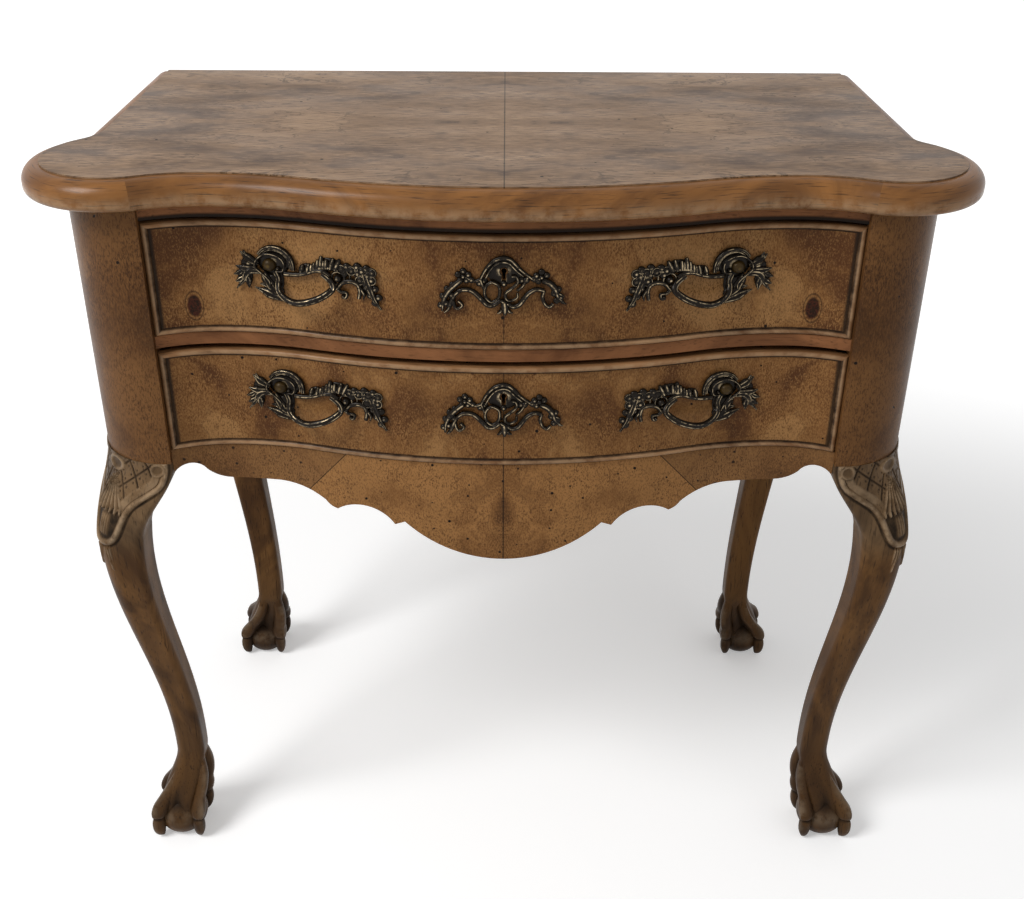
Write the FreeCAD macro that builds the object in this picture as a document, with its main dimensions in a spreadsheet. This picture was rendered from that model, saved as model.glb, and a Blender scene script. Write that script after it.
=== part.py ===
import FreeCAD, Part
import math
import os

# A serpentine chest of two drawers on cabriole legs. Millimetres, +Z up, front towards -Y,
# origin on the floor under the middle of the top.

Vector = FreeCAD.Vector
UP = Vector(0, 0, 1)
doc = FreeCAD.newDocument("chest_of_drawers")

# Driving dimensions.
DRIVING = [
    ("overall_height", 800),
    ("front_reach", 210),
    ("back_reach", 222),
    ("side_half", 385),
    ("post_face", 57),
    ("return_run", 60),
    ("wave_depth", 40),
    ("bulge_share", 0.6755),
    ("hollow_end_radius", 143),
    ("top_thickness", 24),
    ("top_field_margin", 5),
    ("top_back_overhang", 10),
    ("top_side_overhang", 25),
    ("moulding_width", 17),
    ("moulding_quirk", 1.5),
    ("moulding_nose", 7),
    ("ear_side_proud", 59),
    ("ear_front_proud", 1),
    ("ear_radius", 91),
    ("ear_cove_radius", 34),
    ("post_side_proud", 23),
    ("post_front_proud", 20),
    ("post_radius", 75),
    ("post_cove_radius", 30),
    ("post_edge", 45),
    ("side_thickness", 18),
    ("back_thickness", 12),
    ("rear_post_width", 38),
    ("top_rail_height", 19),
    ("upper_opening_height", 113),
    ("divider_thickness", 12),
    ("lower_opening_height", 110),
    ("rail_depth", 45),
    ("rear_rail_depth", 30),
    ("bottom_rail_height", 12),
    ("apron_thickness", 22),
    ("apron_drop", 109.5),
    ("runner_width", 32),
    ("guide_height", 18),
    ("kicker_width", 30),
    ("drawer_play", 0.6),
    ("drawer_lift", 0.4),
    ("front_thickness", 22),
    ("upper_gap", 2.6),
    ("lower_gap", 5.6),
    ("bead_width", 6),
    ("bead_proud", 2.5),
    ("bead_rebate", 7.5),
    ("drawer_side_thickness", 12),
    ("drawer_side_drop", 8),
    ("drawer_back_thickness", 12),
    ("drawer_back_room", 5),
    ("drawer_bottom_thickness", 7),
    ("drawer_bottom_rise", 8),
    ("groove_depth", 5),
    ("groove_play", 0.3),
    ("stop_width", 30),
    ("stop_depth", 18),
    ("stop_height", 6),
    ("stop_play", 0.3),
    ("knee_drop", 90),
    ("knee_reach", 83),
    ("knee_width", 49),
    ("ankle_height", 110),
    ("ankle_reach", 47),
    ("ankle_width", 32),
    ("foot_reach", 48),
    ("ball_radius", 25.5),
    ("claw_width", 15.5),
    ("spigot_radius", 10),
    ("spigot_length", 40),
    ("front_spigot_reach", 35),
    ("pull_setback", 145.5),
    ("pull_width", 133),
    ("pull_plate", 4),
    ("pull_bar_radius", 3.2),
    ("pull_bar_proud", 21),
    ("pull_stud_radius", 2.5),
    ("nut_width", 11),
    ("nut_height", 5),
    ("nut_play", 0.1),
    ("escutcheon_half", 56.5),
    ("escutcheon_plate", 3.5),
    ("keyhole_radius", 2.6),
    ("keyhole_rise", 22),
    ("lock_width", 60),
    ("lock_height", 46),
    ("lock_depth", 12),
    ("bolt_width", 22),
    ("bolt_thickness", 4),
    ("bolt_length", 24),
    ("bolt_throw", 10),
    ("bolt_sink", 1),
    ("bolt_play", 0.3),
]

# Places that follow from the driving dimensions.
DERIVED = [
    ("top_underside", "Sizes.overall_height - Sizes.top_thickness"),
    ("opening_top", "top_underside - Sizes.top_rail_height"),
    ("divider_top", "opening_top - Sizes.upper_opening_height"),
    ("divider_underside", "divider_top - Sizes.divider_thickness"),
    ("apron_top", "divider_underside - Sizes.lower_opening_height"),
    ("carcass_bottom", "apron_top - Sizes.bottom_rail_height"),
    ("carcass_height", "top_underside - carcass_bottom"),
    ("knee_height", "carcass_bottom - Sizes.knee_drop"),
    ("opening_half", "Sizes.side_half - Sizes.post_face"),
    ("wave_half", "opening_half - Sizes.return_run"),
    ("wave_span", "(wave_half ^ 2 + Sizes.wave_depth ^ 2) / (2 * Sizes.wave_depth)"),
    ("bulge_radius", "wave_span * Sizes.bulge_share"),
    ("hollow_radius", "wave_span - bulge_radius"),
    ("hollow_y", "Sizes.wave_depth - Sizes.front_reach"),
    ("bulge_centre_y", "bulge_radius - Sizes.front_reach"),
    ("hollow_centre_y", "hollow_y - hollow_radius"),
    ("end_centre_y", "hollow_y - Sizes.hollow_end_radius"),
    ("ear_centre_x", "Sizes.side_half + Sizes.ear_side_proud - Sizes.ear_radius"),
    ("ear_centre_y", "Sizes.ear_radius - Sizes.front_reach - Sizes.ear_front_proud"),
    ("post_centre_x", "Sizes.side_half + Sizes.post_side_proud - Sizes.post_radius"),
    ("post_centre_y", "hollow_y + Sizes.post_radius - Sizes.post_front_proud"),
    ("cove_run", "Sizes.side_half + Sizes.post_cove_radius - post_centre_x"),
    ("cove_reach", "Sizes.post_radius + Sizes.post_cove_radius"),
    ("post_back", "sqrt(cove_reach ^ 2 - cove_run ^ 2) + post_centre_y"),
    ("side_inner", "Sizes.side_half - Sizes.side_thickness"),
    ("back_inner", "Sizes.back_reach - Sizes.back_thickness"),
    ("rail_back_y", "hollow_y + Sizes.rail_depth"),
    ("rear_post_front", "back_inner - Sizes.rear_post_width"),
    ("rear_post_inner", "side_inner - Sizes.rear_post_width"),
    ("rear_rail_front", "back_inner - Sizes.rear_rail_depth"),
    ("front_half", "opening_half - Sizes.drawer_play"),
    ("drawer_side_inner", "front_half - Sizes.drawer_side_thickness"),
    ("drawer_end", "back_inner - Sizes.drawer_back_room"),
    ("upper_front_height", "Sizes.upper_opening_height - Sizes.drawer_lift - Sizes.upper_gap"),
    ("lower_front_height", "Sizes.lower_opening_height - Sizes.drawer_lift - Sizes.lower_gap"),
    ("upper_drawer_base", "divider_top + Sizes.drawer_lift"),
    ("lower_drawer_base", "apron_top + Sizes.drawer_lift"),
    ("pull_centre_x", "opening_half - Sizes.pull_setback"),
    ("lock_front", "Sizes.front_thickness - Sizes.front_reach - Sizes.lock_depth"),
    ("bolt_front", "lock_front + (Sizes.lock_depth - Sizes.bolt_thickness) / 2"),
]


def make_sheet(name, cells, prefix):
    """A sheet with a name in column A and its aliased value in column B."""
    sheet = doc.addObject("Spreadsheet::Sheet", name)
    for row, (alias, content) in enumerate(cells, 1):
        sheet.set("A%d" % row, alias)
        sheet.set("B%d" % row, prefix + str(content))
        sheet.setAlias("B%d" % row, alias)
    doc.recompute()
    return sheet


sizes_sheet = make_sheet("Sizes", DRIVING, "")
layout_sheet = make_sheet("Layout", DERIVED, "=")
size = {alias: float(sizes_sheet.get(alias)) for alias, content in DRIVING}
place = {alias: float(layout_sheet.get(alias)) for alias, content in DERIVED}
pieces = []


def keep(piece, label):
    """Name a finished piece and put it on the list of files to write."""
    piece.Label = label
    pieces.append(piece)
    return piece


def board(label, corner, extent):
    """A straight-sided board from its lowest corner and its three sizes, all bound to the sheets."""
    box = doc.addObject("Part::Box", label)
    for axis, formula in zip("xyz", corner):
        box.setExpression("Placement.Base." + axis, formula)
    for side, formula in zip(("Length", "Width", "Height"), extent):
        box.setExpression(side, formula)
    return box


def outline(name, curves, base_formula=None, upright=False):
    """A sketch of one closed outline, lying flat or standing in the XZ plane."""
    sketch = doc.addObject("Sketcher::SketchObject", name)
    sketch.addGeometry(curves, False)
    if upright:
        sketch.Placement = FreeCAD.Placement(Vector(), FreeCAD.Rotation(Vector(1, 0, 0), 90))
    if base_formula:
        sketch.setExpression("Placement.Base.z", base_formula)
    return sketch


def extrude(name, sketch, length_formula):
    """Pull an outline square to its plane by a length bound to the sheets."""
    solid = doc.addObject("Part::Extrusion", name)
    solid.Base = sketch
    solid.DirMode = "Normal"
    solid.Solid = True
    solid.setExpression("LengthFwd", length_formula)
    return solid


def combine(kind, name, base, tool):
    """A two-piece boolean: Part::Cut, Part::Common or Part::Fuse."""
    result = doc.addObject(kind, name)
    result.Base = base
    result.Tool = tool
    return result


def fuse_all(name, shapes):
    """One object from several overlapping ones."""
    result = doc.addObject("Part::MultiFuse", name)
    result.Shapes = shapes
    return result


def mirrored(source, name):
    """The same piece on the other side of the chest."""
    twin = doc.addObject("Part::Mirroring", name)
    twin.Source = source
    twin.Normal = Vector(1, 0, 0)
    return twin


def pair(piece, stem):
    """Keep a right-hand piece and its left-hand mirror image."""
    keep(piece, stem + "_right")
    keep(mirrored(piece, stem + "_left"), stem + "_left")


def computed(name, shape, base=Vector()):
    """A piece whose form is worked out from the sheet by Part's own functions, moved to a base point."""
    piece = doc.addObject("Part::Feature", name)
    piece.Shape = shape
    piece.Placement = FreeCAD.Placement(base, FreeCAD.Rotation())
    return piece


def flip(point):
    """Mirror a point across the middle plane."""
    return Vector(-point.x, point.y, point.z)


# The serpentine front line: a middle bulge, a hollow each side of it and a tighter return at each end,
# all arcs that meet tangentially. An offset moves the whole line outwards.
hollow_radius = place["hollow_radius"]
bulge_centre_y = place["bulge_centre_y"]
hollow_centre_y = place["hollow_centre_y"]
end_centre_y = place["end_centre_y"]


def bulge_end(offset):
    """Where the bulge hands over to the hollow."""
    return place["wave_half"] * (place["bulge_radius"] + offset) / place["wave_span"]


def front_y(x, offset=0.0):
    """Depth of the front line at a distance from the middle."""
    reach = abs(x)
    if reach <= bulge_end(offset):
        return bulge_centre_y - math.sqrt((place["bulge_radius"] + offset) ** 2 - reach ** 2)
    beyond = reach - place["wave_half"]
    if beyond <= 0:
        return hollow_centre_y + math.sqrt((hollow_radius - offset) ** 2 - beyond ** 2)
    return end_centre_y + math.sqrt((size["hollow_end_radius"] - offset) ** 2 - beyond ** 2)


def front_point(x, offset=0.0):
    return Vector(x, front_y(x, offset), 0)


def front_arcs(offset, left, right):
    """The arcs of the front line between two distances from the middle."""
    joins = [-place["wave_half"], -bulge_end(offset), bulge_end(offset), place["wave_half"]]
    stations = [left] + [x for x in joins if left < x < right] + [right]
    return [
        Part.Arc(front_point(a, offset), front_point((a + b) / 2, offset), front_point(b, offset))
        for a, b in zip(stations, stations[1:])
    ]


def front_band(offset_front, offset_back, half):
    """Outline of a curved board of even thickness behind the front line."""
    ends = [
        Part.LineSegment(front_point(half, offset_front), front_point(half, offset_back)),
        Part.LineSegment(front_point(-half, offset_back), front_point(-half, offset_front)),
    ]
    return front_arcs(offset_front, -half, half) + front_arcs(offset_back, -half, half) + ends


def front_slab(offset_front, half, back):
    """Outline of a board with a serpentine front edge and a straight back edge."""
    corner = Vector(half, back, 0)
    straight = [
        Part.LineSegment(front_point(half, offset_front), corner),
        Part.LineSegment(corner, flip(corner)),
        Part.LineSegment(flip(corner), front_point(-half, offset_front)),
    ]
    return front_arcs(offset_front, -half, half) + straight


# The top: its edge follows the front line to a cusp, then a round ear over each post, a cove and a
# straight side. The same line drawn further in is the edge of the veneered field.
nose_offset = size["top_field_margin"] + size["moulding_width"]
ear_centre = Vector(place["ear_centre_x"], place["ear_centre_y"], 0)
return_centre = Vector(place["wave_half"], end_centre_y, 0)
top_back = size["back_reach"] + size["top_back_overhang"]
top_half = size["side_half"] + size["top_side_overhang"]
# Degrees that the mouldings run on past a mitre before it is cut.
MITRE_OVERRUN = 12


def circles_meet(first, first_radius, second, second_radius):
    """The meeting point of two circles on the outer side of the line between their centres."""
    line = second - first
    gap = line.Length
    along = (first_radius ** 2 - second_radius ** 2 + gap ** 2) / (2 * gap)
    across = math.sqrt(first_radius ** 2 - along ** 2)
    unit = line / gap
    return first + unit * along + Vector(unit.y, -unit.x, 0) * across


def cove_centre(centre, radius, side, cove):
    """Centre of the hollow arc that joins a round corner to a straight side behind it."""
    run = side + cove - centre.x
    return Vector(side + cove, centre.y + math.sqrt((radius + cove) ** 2 - run ** 2), 0)


def ear_cusp(inset):
    """Where the front line meets the ear."""
    return circles_meet(
        return_centre,
        size["hollow_end_radius"] - nose_offset + inset,
        ear_centre,
        size["ear_radius"] - inset,
    )


ear_cove = cove_centre(ear_centre, size["ear_radius"], top_half, size["ear_cove_radius"])
ear_turn = (ear_cove - ear_centre).normalize()


def arc_about(centre, start, end):
    """The shorter arc about a centre between two points at the same distance from it."""
    middle = ((start - centre) + (end - centre)).normalize() * (start - centre).Length
    return Part.Arc(start, centre + middle, end)


def top_field_outline():
    """Closed edge of the veneered field of the top."""
    inset = size["moulding_width"]
    cusp = ear_cusp(inset)
    ear_end = ear_centre + ear_turn * (size["ear_radius"] - inset)
    side_start = Vector(top_half - inset, ear_cove.y, 0)
    corner = Vector(top_half - inset, top_back, 0)
    half = [
        arc_about(ear_centre, cusp, ear_end),
        arc_about(ear_cove, ear_end, side_start),
        Part.LineSegment(side_start, corner),
    ]
    other = [
        arc_about(flip(ear_centre), flip(cusp), flip(ear_end)),
        arc_about(flip(ear_cove), flip(ear_end), flip(side_start)),
        Part.LineSegment(flip(side_start), flip(corner)),
    ]
    back_edge = [Part.LineSegment(corner, flip(corner))]
    return front_arcs(size["top_field_margin"], -cusp.x, cusp.x) + half + other + back_edge


keep(
    extrude("top_panel", outline("top_field", top_field_outline(), "Layout.top_underside"),
            "Sizes.top_thickness"),
    "top_panel",
)


def moulding_section(origin, outward):
    """The thumb moulding's section, standing on a point of the field's edge: a flat underside, a rounded
    lower nose, an ovolo that rises to the quirk and the flat back."""
    bottom = place["top_underside"]
    top = size["overall_height"] - size["moulding_quirk"]
    width = size["moulding_width"]
    nose = size["moulding_nose"]

    def at(reach, height):
        return origin + outward * reach + UP * height

    lower_turn = math.sin(math.pi / 4) * nose
    shoulder = (top - bottom - nose) * math.sin(math.pi / 4)
    ovolo_reach = (width - size["moulding_quirk"]) * math.cos(math.pi / 4)
    edges = [
        Part.LineSegment(at(0, bottom), at(width - nose, bottom)),
        Part.Arc(at(width - nose, bottom),
                 at(width - nose + lower_turn, bottom + nose - lower_turn),
                 at(width, bottom + nose)),
        Part.Arc(at(width, bottom + nose),
                 at(size["moulding_quirk"] + ovolo_reach, bottom + nose + shoulder),
                 at(size["moulding_quirk"], top)),
        Part.LineSegment(at(size["moulding_quirk"], top), at(0, top)),
        Part.LineSegment(at(0, top), at(0, bottom)),
    ]
    return Part.Face(Part.Wire([edge.toShape() for edge in edges]))


def turned_run(centre, radius, start, end, hollow):
    """Moulding round an arc of the field's edge, from one bearing to another in degrees."""
    bearing = Vector(math.cos(math.radians(start)), math.sin(math.radians(start)), 0)
    outward = bearing * (-1 if hollow else 1)
    face = moulding_section(centre + bearing * radius, outward)
    return face.revolve(centre, UP, end - start)


def bearing_of(point, centre):
    return math.degrees(math.atan2(point.y - centre.y, point.x - centre.x))


def mitre_prism():
    """The block of space between the two mitres at the cusps of the top."""
    inner = ear_cusp(size["moulding_width"])
    outer = ear_cusp(0)
    run = outer - inner
    front_corner = outer + run * 2
    back_corner = inner - run
    points = [front_corner, flip(front_corner), flip(back_corner), back_corner]
    face = Part.Face(Part.makePolygon(points + points[:1]))
    return face.extrude(UP * size["overall_height"])


def front_moulding():
    """The run between the mitres: return, hollow, bulge, hollow, return."""
    margin = size["top_field_margin"]
    cusp = ear_cusp(size["moulding_width"])
    join = bulge_end(margin)
    bulge_centre = Vector(0, bulge_centre_y, 0)
    runs = [
        turned_run(bulge_centre, place["bulge_radius"] + margin,
                   bearing_of(front_point(-join, margin), bulge_centre),
                   bearing_of(front_point(join, margin), bulge_centre), False)
    ]
    for side in (-1, 1):
        hollow_centre = Vector(side * place["wave_half"], hollow_centre_y, 0)
        end_centre = Vector(side * place["wave_half"], end_centre_y, 0)
        join_bearing = bearing_of(front_point(side * join, margin), hollow_centre)
        cusp_bearing = bearing_of(Vector(side * cusp.x, cusp.y, 0), end_centre)
        runs.append(turned_run(hollow_centre, hollow_radius - margin, 90, join_bearing, True))
        runs.append(turned_run(end_centre, size["hollow_end_radius"] - margin, 90,
                               cusp_bearing - side * MITRE_OVERRUN, True))
    whole = runs[0].fuse(runs[1:]).removeSplitter()
    return whole.common(mitre_prism())


def side_moulding():
    """The right-hand run: from the mitre round the ear, through the cove and straight to the back."""
    inset = size["moulding_width"]
    cusp_bearing = bearing_of(ear_cusp(inset), ear_centre)
    turn_bearing = bearing_of(ear_cove, ear_centre)
    cove_bearing = bearing_of(ear_centre, ear_cove)
    straight = moulding_section(Vector(top_half - inset, ear_cove.y, 0), Vector(1, 0, 0))
    runs = [
        turned_run(ear_centre, size["ear_radius"] - inset, cusp_bearing - MITRE_OVERRUN, turn_bearing,
                   False),
        turned_run(ear_cove, size["ear_cove_radius"] + inset, cove_bearing + 360, 180, True),
        straight.extrude(Vector(0, top_back - ear_cove.y, 0)),
    ]
    whole = runs[0].fuse(runs[1:]).removeSplitter()
    return whole.cut(mitre_prism())


keep(computed("front_run", front_moulding()), "top_moulding_front")
pair(computed("side_run", side_moulding()), "top_moulding")

# Front corner posts: a round lobe, a cove into the side, and a bevelled inner face.
post_centre = Vector(place["post_centre_x"], place["post_centre_y"], 0)
post_cove = cove_centre(post_centre, size["post_radius"], size["side_half"], size["post_cove_radius"])


def post_outline():
    edge_run = place["opening_half"] - post_centre.x
    lobe_start = post_centre + Vector(edge_run, -math.sqrt(size["post_radius"] ** 2 - edge_run ** 2), 0)
    lobe_end = post_centre + (post_cove - post_centre).normalize() * size["post_radius"]
    side_corner = Vector(size["side_half"], post_cove.y, 0)
    inner_corner = Vector(place["side_inner"], post_cove.y, 0)
    edge_corner = lobe_start + Vector(0, size["post_edge"], 0)
    return [
        arc_about(post_centre, lobe_start, lobe_end),
        arc_about(post_cove, lobe_end, side_corner),
        Part.LineSegment(side_corner, inner_corner),
        Part.LineSegment(inner_corner, edge_corner),
        Part.LineSegment(edge_corner, lobe_start),
    ]


def spigot_hole(name, centre):
    """The round socket that takes the spigot on top of a leg."""
    hole = doc.addObject("Part::Cylinder", name)
    hole.setExpression("Radius", "Sizes.spigot_radius")
    hole.setExpression("Height", "Sizes.spigot_length")
    hole.Placement.Base = centre
    hole.setExpression("Placement.Base.z", "Layout.carcass_bottom")
    return hole


front_spigot = post_centre + Vector(size["front_spigot_reach"], -size["front_spigot_reach"], 0)
rear_post_middle = size["rear_post_width"] / 2
rear_spigot = Vector(place["rear_post_inner"] + rear_post_middle,
                     place["rear_post_front"] + rear_post_middle, 0)
post_blank = extrude("post_blank", outline("post_section", post_outline(), "Layout.carcass_bottom"),
                     "Layout.carcass_height")
front_socket = spigot_hole("front_socket", front_spigot)
pair(combine("Part::Cut", "front_post", post_blank, front_socket), "front_post")

rear_blank = board(
    "rear_post_blank",
    ("Layout.rear_post_inner", "Layout.rear_post_front", "Layout.carcass_bottom"),
    ("Sizes.rear_post_width", "Sizes.rear_post_width", "Layout.carcass_height"),
)
rear_socket = spigot_hole("rear_socket", rear_spigot)
pair(combine("Part::Cut", "rear_post", rear_blank, rear_socket), "rear_post")

# Side panels, back panel and rear rail.
side_panel = board(
    "side_panel",
    ("Layout.side_inner", "Layout.post_back", "Layout.carcass_bottom"),
    ("Sizes.side_thickness", "Sizes.back_reach - Layout.post_back", "Layout.carcass_height"),
)
pair(side_panel, "side_panel")
keep(
    board(
        "back_panel",
        ("-Layout.side_inner", "Layout.back_inner", "Layout.carcass_bottom"),
        ("2 * Layout.side_inner", "Sizes.back_thickness", "Layout.carcass_height"),
    ),
    "back_panel",
)
keep(
    board(
        "top_rail_rear",
        ("-Layout.rear_post_inner", "Layout.rear_rail_front", "Layout.opening_top"),
        ("2 * Layout.rear_post_inner", "Sizes.rear_rail_depth", "Sizes.top_rail_height"),
    ),
    "top_rail_rear",
)

# Front rails with serpentine front edges. The two upper ones have a mortise for a lock bolt.
def mortise(name, base_formula):
    """The slot above a lock that the thrown bolt enters."""
    return board(
        name,
        ("-Sizes.bolt_width / 2 - Sizes.bolt_play", "Layout.bolt_front - Sizes.bolt_play", base_formula),
        (
            "Sizes.bolt_width + 2 * Sizes.bolt_play",
            "Sizes.bolt_thickness + 2 * Sizes.bolt_play",
            "Sizes.bolt_throw",
        ),
    )


def front_rail(label, base_formula, height_formula, offset_front, slotted):
    curves = front_slab(offset_front, place["opening_half"], place["rail_back_y"])
    rail = extrude(label + "_blank", outline(label + "_plan", curves, base_formula), height_formula)
    if slotted:
        rail = combine("Part::Cut", label, rail, mortise(label + "_mortise", base_formula))
    keep(rail, label)


front_rail("top_rail_front", "Layout.opening_top", "Sizes.top_rail_height", 0, True)
front_rail("divider_rail", "Layout.divider_underside", "Sizes.divider_thickness", 0, True)
front_rail("bottom_rail", "Layout.apron_top - Sizes.bottom_rail_height", "Sizes.bottom_rail_height",
           -size["apron_thickness"], False)


# The apron: a curved board whose lower edge has a middle drop, two cusps each side and a small peak
# next to each leg. Each point is a share of the opening's half-width and a share of the drop, counted up
# from the lowest point.
APRON_POINTS = {
    "bottom": (0.0, 0.0),
    "shoulder": (0.300, 0.357),
    "notch": (0.331, 0.320),
    "arch": (0.440, 0.488),
    "cusp": (0.509, 0.412),
    "swell": (0.530, 0.440),
    "ogee": (0.545, 0.487),
    "rise": (0.600, 0.584),
    "flat_start": (0.7035, 0.6436),
    "flat_end": (0.835, 0.655),
    "sweep": (0.876, 0.688),
    "riser": (0.906, 0.755),
    "peak": (0.950, 0.838),
    "leg_end": (1.0, 0.765),
    "corner": (1.0, 1.0),
}


def apron_point(name, side):
    """A point of the apron's edge on the right (1) or on the left (-1)."""
    across, up = APRON_POINTS[name]
    lowest = place["apron_top"] - size["apron_drop"]
    return Vector(side * across * place["opening_half"], lowest + up * size["apron_drop"], 0)


def apron_side(side):
    """The edge from the middle drop out to the leg and up to the top corner."""
    def line(start, end):
        return Part.LineSegment(apron_point(start, side), apron_point(end, side))

    def arc(start, middle, end):
        return Part.Arc(*[apron_point(name, side) for name in (start, middle, end)])

    return [
        line("shoulder", "notch"),
        arc("notch", "arch", "cusp"),
        arc("cusp", "swell", "ogee"),
        arc("ogee", "rise", "flat_start"),
        line("flat_start", "flat_end"),
        arc("flat_end", "sweep", "riser"),
        arc("riser", "peak", "leg_end"),
        line("leg_end", "corner"),
    ]


def apron_outline():
    drop = Part.Arc(apron_point("shoulder", -1), apron_point("bottom", 1), apron_point("shoulder", 1))
    top_edge = Part.LineSegment(apron_point("corner", 1), apron_point("corner", -1))
    return [drop, top_edge] + apron_side(1) + apron_side(-1)


apron_blank = extrude(
    "apron_blank",
    outline("apron_plan", front_band(0, -size["apron_thickness"], place["opening_half"]),
            "Layout.apron_top - Sizes.apron_drop"),
    "Sizes.apron_drop",
)
apron_cut = extrude("apron_cut", outline("apron_edge", apron_outline(), upright=True),
                    "2 * Sizes.front_reach")
keep(combine("Part::Common", "apron", apron_blank, apron_cut), "apron")


# Runners with their guides, kickers and stops.
def runner(stem, top_formula):
    base = top_formula + " - Sizes.divider_thickness"
    track = board(
        stem + "_track",
        ("Layout.opening_half - Sizes.runner_width", "Layout.rail_back_y", base),
        ("Sizes.runner_width", "Layout.rear_post_front - Layout.rail_back_y", "Sizes.divider_thickness"),
    )
    guide = board(
        stem + "_guide",
        ("Layout.opening_half", "Layout.post_back", base),
        (
            "Layout.side_inner - Layout.opening_half",
            "Layout.rear_post_front - Layout.post_back",
            "Sizes.divider_thickness + Sizes.guide_height",
        ),
    )
    pair(combine("Part::Fuse", stem, track, guide), stem)


runner("upper_runner", "Layout.divider_top")
runner("lower_runner", "Layout.apron_top")
pair(
    board(
        "kicker",
        ("Layout.drawer_side_inner - Sizes.kicker_width", "Layout.rail_back_y", "Layout.opening_top"),
        ("Sizes.kicker_width", "Layout.rear_rail_front - Layout.rail_back_y", "Sizes.top_rail_height"),
    ),
    "kicker",
)


def stops(label, base_formula):
    """Two small blocks on a rail, just behind the hollows of the drawer front."""
    block = board(
        label + "_block",
        (
            "Layout.wave_half - Sizes.stop_width / 2",
            "Layout.hollow_y + Sizes.front_thickness + Sizes.stop_play",
            base_formula,
        ),
        ("Sizes.stop_width", "Sizes.stop_depth", "Sizes.stop_height"),
    )
    both = doc.addObject("Part::Compound", label)
    both.Links = [block, mirrored(block, label + "_twin")]
    keep(both, label)


stops("upper_drawer_stops", "Layout.divider_top")
stops("lower_drawer_stops", "Layout.apron_top")


# Cabriole legs. Each is shaped alike from two faces, so a section is a rounded square that runs from an
# inner to an outer reach along both faces. Reaches are measured from the axis above the leg.
def ease(share):
    """Smooth step from 0 to 1."""
    return share * share * (3 - 2 * share)


# Share of the knee's height in which the inner faces spread to the full width of the post.
WING_SHARE = 0.95


def leg_section(height, corner_top):
    """Inner reach, outer reach and outer corner radius of the leg at a height."""
    top = place["carcass_bottom"]
    knee = place["knee_height"]
    ankle = size["ankle_height"]
    ankle_corner = size["ankle_width"] / 3
    knee_corner = size["knee_width"] / 2
    if height >= knee:
        share = ease((height - knee) / (top - knee))
        outer = size["knee_reach"] + share * (size["post_radius"] - size["knee_reach"])
        knee_inner = size["knee_reach"] - size["knee_width"]
        top_inner = place["opening_half"] - place["post_centre_x"]
        wing = ease(min(1.0, (height - knee) / (WING_SHARE * (top - knee))))
        inner = knee_inner + wing * (top_inner - knee_inner)
        return inner, outer, knee_corner + share * (corner_top - knee_corner)
    share = max(0.0, (height - ankle) / (knee - ankle))
    outer = size["ankle_reach"] + ease(share ** 1.1) * (size["knee_reach"] - size["ankle_reach"])
    width = size["ankle_width"] + share ** 1.9 * (size["knee_width"] - size["ankle_width"])
    return outer - width, outer, ankle_corner + share ** 3 * (knee_corner - ankle_corner)


def rounded_square(inner, outer, corner_outer, corner_inner, height):
    """A square with one large and three small round corners, as a closed wire."""
    corners = [
        (Vector(outer, outer, height), corner_outer),
        (Vector(inner, outer, height), corner_inner),
        (Vector(inner, inner, height), corner_inner),
        (Vector(outer, inner, height), corner_inner),
    ]
    edges = []
    ends = []
    for index, (corner, radius) in enumerate(corners):
        back = (corners[index - 1][0] - corner).normalize()
        ahead = (corners[(index + 1) % len(corners)][0] - corner).normalize()
        middle = (back + ahead) * radius - (back + ahead).normalize() * radius
        ends.append((corner + back * radius, corner + middle, corner + ahead * radius))
    for index, (start, middle, end) in enumerate(ends):
        edges.append(Part.LineSegment(ends[index - 1][2], start).toShape())
        edges.append(Part.Arc(start, middle, end).toShape())
    return Part.Wire(edges)


def foot_axis(share):
    """A point under the leg between the middle of the ankle (0) and the middle of the foot (1)."""
    ankle_middle = size["ankle_reach"] - size["ankle_width"] / 2
    reach = ankle_middle + share * (size["foot_reach"] - ankle_middle)
    return Vector(reach, reach, 0)


# Knuckles of a claw from the ankle to the floor: reach and height in ball radii, thickness in claw widths
# and the share of the way from the ankle's middle to the foot's middle that the reach is counted from.
CLAW_KNUCKLES = [
    (0.46, 3.30, 0.52, 0.0),
    (0.72, 2.60, 0.50, 0.12),
    (1.00, 1.95, 0.46, 0.5),
    (1.25, 1.25, 0.50, 0.9),
    (1.30, 0.22, 0.30, 1.0),
]
# Foot sizes in ball radii: where the shaft ends above the ball, and the flat that the ball stands on.
COLLAR_SHARE = 1.7
FLAT_SHARE = 0.08
SHAFT_STEPS = 6
KNEE_STEPS = 6


def claw(direction):
    """One claw that grips the ball: round sections along a knuckled path from the ankle to the floor."""
    ball = size["ball_radius"]
    points = [
        foot_axis(share) + direction * (reach * ball) + UP * (height * ball)
        for reach, height, thickness, share in CLAW_KNUCKLES
    ]
    rings = []
    for index, (reach, height, thickness, share) in enumerate(CLAW_KNUCKLES):
        before = points[max(index - 1, 0)]
        after = points[min(index + 1, len(points) - 1)]
        ring = Part.Circle(points[index], after - before, thickness * size["claw_width"])
        rings.append(Part.Wire([ring.toShape()]))
    return Part.makeLoft(rings, True, False)


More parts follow.
